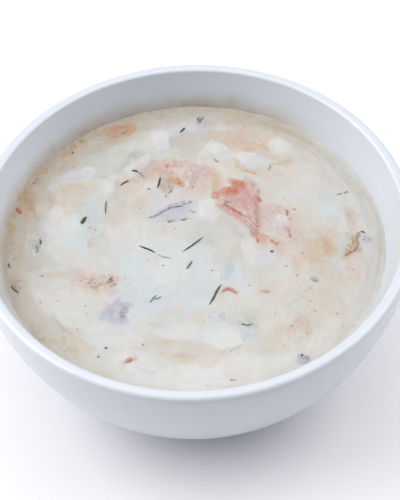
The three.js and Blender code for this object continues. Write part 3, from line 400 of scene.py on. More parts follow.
def along_line(x, y, points):
    """How far each point is from a line of straight steps, on which side, and how far along, from 0 to 1."""
    nearest, side, place_on = np.full(np.shape(x), 1e9), np.zeros(np.shape(x)), np.zeros(np.shape(x))
    for number, ((ax, ay), (bx, by)) in enumerate(zip(points[:-1], points[1:])):
        dx, dy = bx - ax, by - ay
        share = np.clip(((x - ax) * dx + (y - ay) * dy) / (dx * dx + dy * dy), 0.0, 1.0)
        away = np.hypot(x - ax - share * dx, y - ay - share * dy)
        closer = away < nearest
        nearest = np.where(closer, away, nearest)
        side = np.where(closer, np.sign(dx * (y - ay) - dy * (x - ax)), side)
        place_on = np.where(closer, (number + share) / (len(points) - 1), place_on)
    return nearest, side, place_on


def sheet_share(x, y, reach, points):
    """1 just inside a sheet's crisp edge, less further in, and 0 off it."""
    nearest, side, place_on = along_line(x, y, points)
    within = nearest * side
    ends = smooth(place_on, 0.0, 0.2) * smooth(1.0 - place_on, 0.0, 0.2)
    return smooth(within, -0.25, 0.35) * (1.0 - smooth(within, 0.15 * reach, reach)) * ends


def sheets_at(x, y):
    """The share of each sheet at points of the sauce, a little ragged."""
    ragged_x = x + 0.45 * cloud(x, y, 3.6, 3, 33.0)
    ragged_y = y + 0.45 * cloud(x, y, 3.6, 3, 73.0)
    return [sheet_share(ragged_x, ragged_y, reach, points) for _, reach, _, points in SHEETS]


# How far the places bend, in mm; the half width of an oval that bends fully; the share that a line bends.
WARP, FULL_BEND, LINE_BEND = 1.2, 3.0, 0.12
# The film at the wall, and painted shade of the wall on the sauce beside it. By turn in degrees: where it begins, and
# its shares of oil, olive and grey, the last being the painted shade.
FILM_AND_SHADE = (
    (-180, 52.2, 0.6, 0, 0.3), (-165, 51.6, 0.4, 0.3, 0.3), (-150, 51, 0, 0.4, 0.2), (-120, 51.6, 0, 0.25, 0),
    (-90, 52.5, 0, 0.05, 0), (-60, 52, 0, 0.1, 0.3), (-30, 52.6, 0, 0.25, 0), (0, 54.2, 0.1, 0.2, 0),
    (30, 54.4, 0, 0.1, 0), (45, 53, 0.1, 0.2, 0.1), (60, 51.2, 0.6, 0.25, 0.2), (90, 49.6, 0.45, 0, 0.9),
    (120, 47.8, 0.85, 0.25, 0.4), (150, 51.2, 0.7, 0.2, 0.1), (180, 52.2, 0.6, 0, 0.3),
)


def painted(x, y, warp_x, warp_y):
    """The share of every tint from the tables above."""
    tints = {tint: np.zeros(np.shape(x)) for tint in TINTS}
    ragged = [0.3 * cloud(x, y, 5.0, 4, shift) for shift in (55.0, 120.0, 170.0)]
    for tint, ovals in SPOTS.items():
        for at_x, at_y, long, short, strength, *turn in ovals:
            bend = min(1.0, short / FULL_BEND)
            bent_x, bent_y = x + bend * (warp_x - x), y + bend * (warp_y - y)
            away = oval(bent_x, bent_y, at_x, at_y, long, short, *turn) + ragged[int(at_x) % 3]
            soft = min(0.38, 1.6 / short)
            share = strength * (1.0 - smooth(away, 1.0 - soft, 1.0 + 0.6 * soft))
            tints[tint] = np.maximum(tints[tint], share)
    for tint, ovals in BLOTS.items():
        for at_x, at_y, long, short, strength, size, *turn in ovals:
            zone = 1.0 - smooth(oval(warp_x, warp_y, at_x, at_y, long, short, *turn), 0.5, 1.3)
            blots = smooth(cloud(x, y, size, 3, at_x - 2.0 * at_y) + 0.5 * zone - 0.35, -0.05, 0.3)
            tints[tint] = np.maximum(tints[tint], strength * zone * blots)
    for tint, lines in STREAKS.items():
        for width, strength, points in lines:
            away = along_line(x + LINE_BEND * (warp_x - x), y + LINE_BEND * (warp_y - y), points)[0]
            tints[tint] = np.maximum(tints[tint], strength * (1.0 - smooth(away, 0.25 * width, width)))
    for (tint, _, strength, _), share in zip(SHEETS, sheets_at(x, y)):
        tints[tint] = tints[tint] + strength * share * (1.0 - tints[tint])
        tints["white"] = tints["white"] * (1.0 - 0.6 * share)
    return tints


def stir(tints, x, y, warp_x, warp_y):
    """Adds thick and thin cream in patches, drawn out by stirring; broad and small ones have two values each."""
    swirl_x, swirl_y = swirled(warp_x, warp_y)
    broad = patchwork(swirl_x, swirl_y, 11.0, 1.4, 5.0)
    torn_x, torn_y = (0.5 * cloud(x, y, 2.6, 2, shift) for shift in (60.0, 80.0))
    small = patchwork(swirl_x + torn_x, swirl_y + torn_y, CREAM_PATCH, 0.6, 9.0)
    drift = cloud(x, y, 15.0, 3, 90.0)
    held = np.maximum.reduce([tints[tint] for tint in ("cool", "sage", "white", "lilac", "violet")])
    tints["cool"] = tints["cool"] + 0.28 * smooth(broad[0], 0.55, 0.9) + 0.16 * smooth(small[0], 0.6, 0.95)
    warm = 0.28 * smooth(0.45 - broad[0], 0.0, 0.4) + 0.2 * smooth(0.4 - small[0], 0.0, 0.35)
    tints["peach"] = tints["peach"] + warm * (1.0 - 0.85 * held)
    tints["white"] = tints["white"] + 0.2 * smooth(broad[1], 0.6, 0.95) + 0.26 * smooth(small[1], 0.6, 0.95)
    tints["grey_and_shade"] = tints["grey_and_shade"] + 0.2 * smooth(drift, 0.1, 0.9)


def cover_with_film_and_painted_light(tints, x, y):
    """Adds the oily film at the wall with painted shade of the wall on the sauce beside it, and a painted highlight,
    a pale line along the wall at its right.
    """
    radius = np.hypot(x, y)
    turns, *columns = zip(*FILM_AND_SHADE)
    begins, *film = (np.interp(np.degrees(np.arctan2(y, x)), turns, column) for column in columns)
    ring = smooth(radius + 1.1 * cloud(x, y, 5.0, 3, 9.0) - begins, -2.6, 2.0)
    ring = ring * (1.0 + 0.25 * cloud(x, y, 3.2, 3, 19.0)) * (0.8 + 0.2 * smooth(radius, 52.0, 55.5))
    # The last of these shares is painted shade of the wall.
    for tint, share in zip(("oil", "olive", "grey_and_shade"), film):
        tints[tint] = np.maximum(tints[tint], ring * share)
    for tint in ("cool", "peach", "white"):
        tints[tint] = tints[tint] * (1.0 - 0.7 * ring)
    # Painted highlight: a pale line where the sauce rises against the wall on the right side, facing the light from
    # the left.
    painted_highlight = smooth(radius, 54.6, 56.0) * smooth(x - 0.5 * y, -10.0, 20.0)
    tints["white"] = np.maximum(tints["white"], 0.75 * painted_highlight)


def tints_at(x, y):
    """The share of every tint at points of the sauce, in mm."""
    warp_x, warp_y = x + WARP * cloud(x, y, 6.5, 4, 3.0), y + WARP * cloud(x, y, 6.5, 4, 40.0)
    tints = painted(x, y, warp_x, warp_y)
    stir(tints, x, y, warp_x, warp_y)
    cover_with_film_and_painted_light(tints, x, y)
    mottle = cloud(x, y, 2.4, 3, 70.0)
    for tint in TINTS[:TINTS.index("oil")]:
        tints[tint] = tints[tint] * (1.0 + 0.3 * mottle)
    return {tint: np.clip(share, 0.0, 1.0) for tint, share in tints.items()}


# ---- The height of the sauce ----
def sauce_height(x, y):
    """The sauce's surface as in the part."""
    radius = np.minimum(np.hypot(x, y), SAUCE_RADIUS)
    inside = island_edge(np.arctan2(y, x)) - radius + 0.9 * cloud(x, y, 9.0, 2, 21.0)
    bank = ISLAND_BANK * (1.0 + smooth(x, 15.0, 40.0))
    wave = 2.0 * math.pi / WAVE_LENGTH
    height = SAUCE_LEVEL + ISLAND_RISE * smooth(inside, -0.5 * bank, 0.5 * bank)
    height = height + MENISCUS_RISE * np.exp((radius - SAUCE_RADIUS) / MENISCUS_WIDTH)
    height = height + WAVE_RISE * np.sin(wave * (x + 0.4 * y)) * np.sin(wave * (y - 0.3 * x))
    for at_x, at_y, long, short, turn, rise in MOUNDS:
        height = height + rise / (1.0 + oval(x, y, at_x, at_y, long, short, turn) ** 4)
    for at_x, at_y, arc, start, end, rise, reach in FOLDS:
        turn = np.arctan2(y - at_y, x - at_x)
        middle, half = math.radians(0.5 * (start + end)), math.radians(0.5 * (end - start))
        off = np.abs(np.arctan2(np.sin(turn - middle), np.cos(turn - middle)))
        inward = arc - np.hypot(x - at_x, y - at_y)
        width = np.where(inward < 0.0, FOLD_LIP, reach)
        ends = 1.0 - smooth(off, half - FOLD_FADE, half + FOLD_FADE)
        height = height + rise * ends * np.exp(-((inward / width) ** 2))
    return height


LUMP_RISE, FINE_LUMP_RISE, LAYER_RISE, RIDGE_RISE, STEP_RISE, RELIEF_SHIFT = 0.09, 0.03, 0.22, 0.045, 0.16, 0.06


def sauce_top(x, y):
    """The sauce's surface with its small lumps and grain."""
    calm = smooth(np.hypot(x, y), 56.4, 52.0)
    lumps = LUMP_RISE * cloud(x, y, 4.2, 2, 11.0) + FINE_LUMP_RISE * cloud(x, y, 1.3, 2, 31.0)
    bent_x, bent_y = swirled(x + 0.8 * cloud(x, y, 3.4, 3, 60.0), y + 0.8 * cloud(x, y, 3.4, 3, 80.0))
    layers = patchwork(bent_x, bent_y, CREAM_PATCH, 0.5, 9.0)[1]
    ridges = cloud(bent_x / 2.6, bent_y, 1.7, 2, 44.0)
    step = np.maximum.reduce(sheets_at(x, y))
    relief = lumps + LAYER_RISE * layers + RIDGE_RISE * ridges - STEP_RISE * step - RELIEF_SHIFT
    return sauce_height(x, y) + relief * (0.25 + 0.75 * calm)


# How far further back a point shows on the level sauce in the photo, for each mm that it is higher.
SLANT = 0.86


def photo_y(y, height):
    """Where the photo shows a point, as its y on the level sauce."""
    return y + SLANT * (height - SAUCE_LEVEL)


# ---- Meshes ----
SHARP = math.radians(60)
BOWL_SIDES, OUTER_STEPS, SAUCE_RINGS, LINE_STEPS = 256, 44, 168, 24


def volume_of(points, faces):
    """Signed, so that it is negative where the faces point inwards."""
    corners = np.array([(face[0], face[k], face[k + 1]) for face in faces for k in range(1, len(face) - 1)])
    a, b, c = (points[corners[:, k]] for k in range(3))
    return float(np.sum(a * np.cross(b, c)) / 6.0)


def place(name, points, faces, material, nodes=(), values=None):
    """A smooth mesh piece that rides on the part; points are in mm, values are shares on them."""
    points = np.asarray(points, float)
    if volume_of(points, faces) < 0.0:
        faces = [tuple(reversed(face)) for face in faces]
    mesh = bpy.data.meshes.new(name)
    mesh.from_pydata((points * MM).tolist(), [], faces)
    mesh.update()
    for key, share in (values or {}).items():
        layer = mesh.attributes.new(key, "FLOAT", "POINT")
        layer.data.foreach_set("value", np.asarray(share, np.float32))
    mesh.shade_smooth()
    mesh.set_sharp_from_angle(angle=SHARP)
    mesh.materials.append(material)
    piece = bpy.data.objects.new(name, mesh)
    bpy.context.scene.collection.objects.link(piece)
    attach(piece, "root")
    for node in nodes:
        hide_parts(node)
    return piece


def ring_faces(sides, rings):
    """Quads between rings of points, closed by one point at each end."""
    start = [(0, 1 + k, 1 + (k + 1) % sides) for k in range(sides)]
    last = 1 + (rings - 1) * sides
    end = [(last + k, last + sides, last + (k + 1) % sides) for k in range(sides)]
    between = [(row + k, row + sides + k, row + sides + (k + 1) % sides, row + (k + 1) % sides)
               for row in range(1, last, sides) for k in range(sides)]
    return start + between + end


def ring_of(radius, height, sides):
    """Level points in a circle round Z."""
    turn = np.arange(sides) * 2.0 * math.pi / sides
    return np.stack([radius * np.cos(turn), radius * np.sin(turn), np.full(sides, height)], 1)


def lathe(profile, sides):
    """A closed surface turned round Z from a profile whose first and last points are on the axis."""
    rings = [ring_of(radius, height, sides) for radius, height in profile[1:-1]]
    points = np.concatenate([[(0.0, 0.0, profile[0][1])], *rings, [(0.0, 0.0, profile[-1][1])]])
    return points, ring_faces(sides, len(rings))


def wall_point(lean, thickness):
    """A point of the outer wall where it leans by an angle, moved inward by a thickness."""
    radius = RIM_RADIUS - WALL_ARC_RADIUS * (math.cos(WALL_LEAN_AT_RIM) - math.cos(lean))
    height = BOWL_HEIGHT - RIM_OUTER_ROUND - WALL_ARC_RADIUS * (math.sin(lean) - math.sin(WALL_LEAN_AT_RIM))
    return radius - thickness * math.cos(lean), height + thickness * math.sin(lean)


def arc(x, y, radius, start, end, steps):
    """Points on an arc, from one angle to another in degrees."""
    turns = [math.radians(start + (end - start) * i / steps) for i in range(steps + 1)]
    return [(x + radius * math.cos(t), y + radius * math.sin(t)) for t in turns]


def inner_wall(gap, steps):
    """The inside of the bowl from the middle of its floor to the sauce line, a gap further in."""
    low = wall_point(LEAN_AT_FOOT, WALL_THICKNESS_LOW + gap)
    middle = low[0] - FLOOR_ARC_RADIUS * math.cos(LEAN_AT_FOOT)
    points = [(0.0, FLOOR_HEIGHT + gap), (middle, FLOOR_HEIGHT + gap)]
    for i in range(steps):
        share = i / steps
        lean = LEAN_AT_FOOT + (INNER_WALL_LEAN - LEAN_AT_FOOT) * share
        thickness = WALL_THICKNESS_LOW + (WALL_THICKNESS_HIGH - WALL_THICKNESS_LOW) * share
        points.append(wall_point(lean, thickness + gap))
    return points


def bowl_profile():
    """The bowl's section, from the middle of its underside round the rim to the middle of its floor."""
    foot_inner = FOOT_RADIUS - FOOT_WIDTH
    profile = [(0.0, FOOT_RECESS), (foot_inner - 2.0, FOOT_RECESS), (foot_inner - 0.5, FOOT_RECESS)]
    profile += [(foot_inner - 0.25, 0.9), (foot_inner, 0.25), (foot_inner + 0.25, 0.0), (FOOT_RADIUS - 1.2, 0.0)]
    profile += arc(FOOT_RADIUS - FOOT_CHAMFER, FOOT_CHAMFER, FOOT_CHAMFER, -90, 0, 4)
    profile += [(FOOT_RADIUS, 0.6 * FOOT_HEIGHT), (FOOT_RADIUS, FOOT_HEIGHT - 0.1)]
    lean_step = (WALL_LEAN_AT_RIM - LEAN_AT_FOOT) / OUTER_STEPS
    profile += [wall_point(LEAN_AT_FOOT + lean_step * i, 0.0) for i in range(OUTER_STEPS)]
    profile += arc(RIM_RADIUS - RIM_OUTER_ROUND, BOWL_HEIGHT - RIM_OUTER_ROUND, RIM_OUTER_ROUND, 0, 90, 14)
    inner = RIM_RADIUS - RIM_WIDTH + RIM_INNER_ROUND
    profile += arc(inner, BOWL_HEIGHT - RIM_INNER_ROUND, RIM_INNER_ROUND, 90, 180 - math.degrees(INNER_WALL_LEAN), 10)
    radius, height = profile[-1]
    for share in np.arange(1, 13) / 12.0:
        profile.append((radius + (SAUCE_RADIUS - radius) * share, height + (SAUCE_LEVEL - height) * share))
    return profile + inner_wall(0.0, 16)[::-1]


def disc(rings, edge):
    """Points in rings round the middle, six more in each, and the triangles between them."""
    x, y = [np.zeros(1)], [np.zeros(1)]
    for i in range(1, rings + 1):
        turn = np.arange(6 * i) * math.pi / (3.0 * i)
        x.append(edge * i / rings * np.cos(turn))
        y.append(edge * i / rings * np.sin(turn))
    faces = [np.array([(0, 1 + k, 1 + (k + 1) % 6) for k in range(6)])]
    near, far = 0, 1
    for i in range(1, rings):
        near, far = far, far + 6 * i
        for count, steps_out in ((i + 1, False), (i, True)):
            side, k = np.repeat(np.arange(6), count), np.tile(np.arange(count), 6)
            inner, outer = near + side * i + k, far + side * (i + 1) + k
            after = far + (side * (i + 1) + k + 1) % (6 * (i + 1))
            if steps_out:
                faces.append(np.stack([inner, after, near + (side * i + k + 1) % (6 * i)], 1))
            else:
                faces.append(np.stack([near + (side * i + k) % (6 * i), outer, after], 1))
    return np.concatenate(x), np.concatenate(y), np.concatenate(faces), far


def sauce_mesh(rings):
    """The sauce: its surface, and its underside just above the bowl's inside."""
    x, y, faces, first = disc(rings, SAUCE_RADIUS + SAUCE_OVERLAP)
    points = np.stack([x, y, sauce_top(x, y)], 1)
    sides = 6 * rings
    k, after = np.arange(sides), (np.arange(sides) + 1) % sides
    faces = faces.tolist()
    under = inner_wall(CLEARANCE, 8)[::-1]
    for radius, height in under[:-1]:
        below = len(points)
        points = np.concatenate([points, ring_of(radius, height, sides)])
        faces.extend(np.stack([first + k, below + k, below + after, first + after], 1).tolist())
        first = below
    points = np.concatenate([points, [(0.0, 0.0, under[-1][1])]])
    faces.extend((first + k, len(points) - 1, first + (k + 1) % sides) for k in range(sides))
    return points, faces


def smooth_line(points, count, closed):
    """Even points along a smooth line through the given ones."""
    points = np.asarray(points, float)
    total = len(points)
    t = np.arange(LINE_STEPS)[:, None] / LINE_STEPS
    fine = []
    for i in range(total if closed else total - 1):
        if closed:
            p0, p1, p2, p3 = (points[(i + k) % total] for k in (-1, 0, 1, 2))
        else:
            p1, p2 = points[i], points[i + 1]
            p0 = points[i - 1] if i > 0 else 2 * p1 - p2
            p3 = points[i + 2] if i + 2 < total else 2 * p2 - p1
        bend, twist = 2 * p0 - 5 * p1 + 4 * p2 - p3, 3 * p1 - p0 - 3 * p2 + p3
        fine.append(0.5 * (2 * p1 + (p2 - p0) * t + bend * t ** 2 + twist * t ** 3))
    fine = np.concatenate(fine + [points[:1] if closed else points[-1:]])
    length = np.concatenate([[0.0], np.cumsum(np.hypot(*np.diff(fine, axis=0).T))])
    at = np.linspace(0.0, length[-1], count + 1)[: count if closed else count + 1]
    return np.stack([np.interp(at, length, fine[:, k]) for k in range(2)], 1)


# ---- The pieces in the sauce ----
# How far the edge of a sunk piece dips under the sauce, and the fold in the bare tomato.
CHUNK_SINK = 0.25
CREASE = ((9.4, 16), (13.2, 13), (17, 9.6), (19.2, 6.4))
# The sunk pieces: name, rise, depth, ripple, grain, slope at the edge, outline.
CHUNKS = (
    ("tomato_main", 0.95, 3.2, 0.15, 0.18, 3.4, ((5.3, 19.1), (6.6, 22.3), (9.2, 25.5), (13.5, 27.3), (17.7, 25.5),
     (21.2, 21.2), (21.8, 15.9), (20.7, 10.8), (19.9, 6.9), (20.3, 3.3), (19, 1.4), (17.1, 4.6), (14.2, 7.9),
     (11.1, 11.3), (7.9, 14.6))),
    ("tomato_tail", 0.6, 2.4, 0.2, 0.2, 2, ((21.6, 3), (22.8, 3), (24.2, 1.8), (25.9, -0.2), (25.9, -2),
     (24.2, -2.2), (22.6, -0.9), (21.4, 0.9))),
    ("tomato_mid", 0.7, 3, 0.35, 0.16, 3.4, ((-12.8, 28.6), (-10.2, 32.4), (-5.9, 34.4), (-0.6, 33.2), (2.6, 29.4),
     (2.8, 23.8), (0.6, 20.4), (-3.8, 19.8), (-8.8, 21), (-11.9, 24.1))),
    ("tomato_left", 0.6, 2.6, 0.3, 0.16, 3, ((-34.6, -12.2), (-31.6, -9.2), (-27.6, -8.5), (-23.6, -10.4),
     (-21.8, -13.6), (-24.4, -16.4), (-29.2, -16.6), (-33, -15.3))),
    ("tomato_back", 0.5, 2.4, 0.2, 0.1, 2.4, ((-27.4, 46.2), (-24.4, 48.6), (-20.6, 50.4), (-17.6, 50.2),
     (-18.6, 47), (-22, 44.4), (-25.4, 44))),
    ("onion_left", 0.45, 2.2, 0.2, 0.12, 2.2, ((-26.5, -22.4), (-23.6, -20.2), (-20.4, -20.6), (-19.4, -24.7),
     (-21.1, -28.6), (-24.3, -28.4))),
    ("onion_front", 0.5, 2, 0.15, 0.12, 1.2, ((27.6, -42.9), (29.6, -41.8), (31.7, -42.6), (31.4, -45.1),
     (28.6, -45.4))),
    ("onion_right", 0.5, 1.8, 0.1, 0.1, 1, ((50.3, 0.4), (51.7, 0.9), (52.7, -0.5), (51.9, -2.2), (50.5, -1.6))),
)


def chunk_mesh(rise, depth, ripple, grain, slope, outline, creased, sides, rings):
    """A sunk piece: domed and torn within its outline, with a flat bottom below the sauce."""
    edge = smooth_line(outline, sides, True)
    if np.sum(edge[:, 0] * np.roll(edge[:, 1], -1) - edge[:, 1] * np.roll(edge[:, 0], -1)) < 0.0:
        edge = edge[::-1]
    middle = edge.mean(0)
    share = np.concatenate([[0.0], np.repeat(np.arange(1, rings + 1) / rings, sides)])
    flat = np.concatenate([[middle], *[middle + (edge - middle) * i / rings for i in range(1, rings + 1)]])
    x, y = flat.T
    reach = np.hypot(*(edge - middle).T)
    within = (1.0 - share) * np.concatenate([[reach.mean()], np.tile(reach, rings)])
    torn = 0.3 * slope * (0.6 + cloud(x, y, 2.6, 3, 27.0)) * smooth(within, 0.0, 0.4)
    dome = smooth(within - torn, 0.0, slope)
    bumps = ripple * np.sin(1.1 * x + 0.7 * y) * np.cos(0.9 * y - 0.5 * x)
    bumps = bumps + grain * (cloud(x, y, 1.9, 3, 3.3) + 0.5 * np.abs(cloud(x, y, 0.9, 2, 8.8)))
    ground = sauce_top(x, y)
    if creased:
        off = along_line(x, photo_y(y, ground + rise * dome), CREASE)[0]
        bumps = bumps - 0.22 * np.exp(-((off / 0.35) ** 2))
    height = ground + (rise + bumps + CHUNK_SINK) * dome - CHUNK_SINK
    bottom = SAUCE_LEVEL - depth
    points = np.concatenate([
        np.stack([x, y, height], 1),
        np.column_stack([edge, np.full(sides, bottom)]),
        [(middle[0], middle[1], bottom)],
    ])
    return points, ring_faces(sides, rings + 1)


PIECE_TOPS, TOUCH_REACH = [], 0.6


def tops_at(x, y):
    """The height of whatever is on top at each place: the sauce or a piece in it."""
    height = sauce_top(x, y)
    for points in PIECE_TOPS:
        off = np.hypot(points[:, 0] - x[:, None], points[:, 1] - y[:, None])
        nearest = np.argmin(off, axis=1)
        close = off[np.arange(len(x)), nearest] < TOUCH_REACH
        height = np.where(close, np.maximum(height, points[nearest, 2]), height)
    return height


def ribbon_mesh(route, width, above, below, steps, sides, lift, seed=0.0, ends=0.0, taper=0.5, in_photo=False):
    """A long body along a route, pointed at both ends; ends sinks its tips, taper draws them out."""
    line = smooth_line(route, steps, False)
    if in_photo:
        line[:, 1] -= SLANT * (tops_at(line[:, 0], line[:, 1] - SLANT) - SAUCE_LEVEL)
    along = np.gradient(line, axis=0)
    along /= np.linalg.norm(along, axis=1)[:, None]
    share = np.arange(steps + 1) / steps
    ground = tops_at(line[:, 0], line[:, 1]) + lift - ends * (2.0 * share - 1.0) ** 4
    uneven = 1.0 + 0.18 * noise(share * 7.0 + seed, share * 0.0 + seed)
    full = np.maximum(0.0, 1.0 - np.abs(2.0 * share - 1.0) ** 3) ** taper * uneven
    turn = np.arange(sides) * 2.0 * math.pi / sides
    points = [(line[0, 0], line[0, 1], ground[0])]
    for i in range(1, steps):
        across = 0.5 * width * full[i] * np.cos(turn)
        up = np.where(np.sin(turn) > 0.0, above, below) * full[i] * np.sin(turn)
        points.extend(zip(line[i, 0] + across * along[i, 1], line[i, 1] - across * along[i, 0], ground[i] + up))
    points.append((line[-1, 0], line[-1, 1], ground[-1]))
    return np.array(points), ring_faces(sides, steps - 1)


def gathered(parts):
    """Several meshes as one: (points, faces, values)."""
    points, faces, values, start = [], [], {}, 0
    for part_points, part_faces, part_values in parts:
        points.append(part_points)
        faces.extend(tuple(index + start for index in face) for face in part_faces)
        start += len(part_points)
        for key, share in part_values.items():
            values.setdefault(key, []).append(np.broadcast_to(np.asarray(share, float), (len(part_points),)))
    return np.concatenate(points), faces, {key: np.concatenate(shares) for key, shares in values.items()}


# ---- Materials ----
# How bright the studio light shows a level surface, against its own colour.
LIGHT_LEVEL = 1.38
# Blender's noise lies mostly between these.
NOISE_LOW, NOISE_HIGH = 0.3, 0.7


def seen(red, green, blue):
    """A surface's own colour from the screen colour that it should show in this light."""
    shown = np.array([red, green, blue]) / 255.0
    linear = np.where(shown <= 0.04045, shown / 12.92, ((shown + 0.055) / 1.055) ** 2.4)
    return tuple(float(part) for part in linear / LIGHT_LEVEL) + (1.0,)


class Looks:
    """A node material in the making, with its Principled shader."""

    def __init__(self, name, **settings):
        self.material = bpy.data.materials.new(name)
        self.material.use_nodes = True
        self.tree = self.material.node_tree
        self.shader = self.tree.nodes["Principled BSDF"]
        for key, value in settings.items():
            self.shader.inputs[key.replace("_", " ")].default_value = value
        self.where = self.add("ShaderNodeTexCoord").outputs["Object"]

    def add(self, kind, inputs=None, **settings):
        node = self.tree.nodes.new(kind)
        for key, value in settings.items():
            setattr(node, key, value)
        for key, value in (inputs or {}).items():
            if isinstance(value, bpy.types.NodeSocket):
                self.tree.links.new(value, node.inputs[key])
            else:
                node.inputs[key].default_value = value
        return node

    def share(self, name):
        """A share stored on the mesh's points."""
        return self.add("ShaderNodeAttribute", attribute_name=name).outputs["Fac"]

    def grain(self, size_mm, detail=3.0, roughness=0.55, shift=0.0):
        """Noise with bumps of the given size, about 0.5."""
        inputs = {"Vector": self.where, "Scale": 1.0 / (size_mm * MM), "Detail": detail}
        inputs.update({"Roughness": roughness, "W": shift})
        return self.add("ShaderNodeTexNoise", inputs, noise_dimensions="4D").outputs["Fac"]

    def step(self, value, low, high, to_low=0.0, to_high=1.0):
        """An even ease from one value to another, where the input goes from low to high."""
        inputs = {"Value": value, "From Min": low, "From Max": high, "To Min": to_low, "To Max": to_high}
        return self.add("ShaderNodeMapRange", inputs, interpolation_type="SMOOTHSTEP").outputs["Result"]

    def drift(self, size_mm, *settings, low=0.0, high=1.0, shift=0.0):
        """Noise of the given size that wanders from one value to another."""
        return self.step(self.grain(size_mm, *settings, shift=shift), NOISE_LOW, NOISE_HIGH, low, high)

    def times(self, a, b):
        """The product of two shares, at most 1."""
        return self.add("ShaderNodeMath", {0: a, 1: b}, operation="MULTIPLY", use_clamp=True).outputs[0]

    def mix(self, share, a, b):
        """From a to b by a share."""
        return self.add("ShaderNodeMix", {0: share, 6: a, 7: b}, data_type="RGBA").outputs[2]

    def finish(self, colour, roughness=None, bump=None):
        """The material, with its colour, roughness, and bump: height, distance in mm, strength."""
        self.tree.links.new(colour, self.shader.inputs["Base Color"])
        if roughness is not None:
            self.tree.links.new(roughness, self.shader.inputs["Roughness"])
        if bump is not None:
            height, distance_mm, strength = bump
            node = self.add("ShaderNodeBump", {"Height": height, "Distance": distance_mm * MM, "Strength": strength})
            self.tree.links.new(node.outputs["Normal"], self.shader.inputs["Normal"])
        return self.material


# How far above the sauce the dried film reaches, and how ragged its edge is.
FILM_HEIGHT, FILM_TORN = 6.5, 1.2


def porcelain_looks():
    """White glaze, with a thin ragged film of sauce that dried just above the sauce."""
    looks = Looks("porcelain", Coat_Weight=0.35, Coat_Roughness=0.12, Subsurface_Weight=0.08, Subsurface_Scale=0.002)
    colour = looks.mix(looks.drift(22.0, 2.0), seen(228, 234, 244), seen(231, 237, 246))
    height = looks.add("ShaderNodeSeparateXYZ", {"Vector": looks.where}).outputs["Z"]
    torn = looks.step(looks.grain(9.0, 4.0, shift=2.0), 0.2, 0.8, -FILM_TORN * MM, FILM_TORN * MM)
    ragged = looks.add("ShaderNodeMath", {0: height, 1: torn}, operation="ADD").outputs[0]
    film = looks.step(ragged, SAUCE_LEVEL * MM, (SAUCE_LEVEL + FILM_HEIGHT) * MM, 1.0, 0.0)
    film = looks.times(film, looks.share("inside"))
    film = looks.times(film, looks.step(looks.grain(5.0, 4.0, shift=5.0), 0.35, 0.7, 0.65, 1.0))
    colour = looks.mix(film, colour, seen(200, 186, 168))
    roughness = looks.drift(8.0, 3.0, low=0.29, high=0.35, shift=8.0)
    return looks.finish(colour, roughness, (looks.grain(14.0, 1.0, shift=12.0), 0.04, 0.2))


# The screen colours of plain cream, and of each tint in full.
CREAM = ((213, 209, 203), (217, 214, 208))
TINT_COLOURS = {
    "grey_and_shade": (188, 187, 184), "cool": (208, 217, 221), "sage": (199, 208, 208), "olive": (203, 197, 178),
    "peach": (210, 194, 178), "orange": (207, 166, 138), "pink": (211, 188, 180), "flesh": (206, 173, 169),
    "white": (221, 222, 221), "lilac": (210, 210, 218), "violet": (180, 180, 198), "oil": (189, 173, 152),
    "ochre": (192, 164, 124), "red": (202, 134, 116), "tomato": (204, 124, 100), "deep": (182, 92, 66),
    "dark": (112, 98, 94),
}


def food_looks(name, wet=0.0, **settings):
    """Cream with its tints, wetter or drier."""
    defaults = {"Subsurface_Weight": 0.2, "Subsurface_Scale": 0.0005, "Specular_IOR_Level": 0.42}
    looks = Looks(name, **{**defaults, **settings})
    colour = looks.mix(looks.drift(7.0, 4.0), seen(*CREAM[0]), seen(*CREAM[1]))
    for shift, tinge in ((14.0, (214, 196, 183)), (17.0, (206, 215, 216))):
        share = looks.step(looks.grain(1.9, 4.0, 0.65, shift), 0.5, 0.75, 0.0, 0.3)
        colour = looks.mix(share, colour, seen(*tinge))
    break_up = looks.step(looks.grain(1.6, 4.0, 0.6, 3.0), 0.25, 0.75, 0.66, 1.25)
    for tint, shade in TINT_COLOURS.items():
        colour = looks.mix(looks.times(looks.share(tint), break_up), colour, seen(*shade))
    fine = looks.grain(0.8, 3.0, 0.6, 6.0)
    # This darkens the colour where the fine bump is low: painted shade in its hollows.
    colour = looks.mix(looks.step(fine, 0.35, 0.75, 0.10, 0.0), colour, seen(176, 168, 156))
    roughness = looks.drift(2.2, 3.0, 0.5, low=0.38 - 0.09 * wet, high=0.50 - 0.14 * wet, shift=9.0)
    return looks.finish(colour, roughness, (fine, 0.16, 0.5))


def topping_looks(name, grain, shades, tints, rough_grain, rough, bump_grain, bump):
    """Herbs and spice: grain between two shades, then each tint where the mesh has a share of it."""
    looks = Looks(name, Specular_IOR_Level=0.35)
    colour = looks.mix(looks.drift(grain), *(seen(*shade) for shade in shades))
    for tint, shade in tints.items():
        colour = looks.mix(looks.share(tint), colour, seen(*shade))
    roughness = looks.drift(rough_grain, low=rough, high=rough + 0.2)
    return looks.finish(colour, roughness, (looks.grain(bump_grain, 2.0, 0.5, 4.0), bump, 0.4))


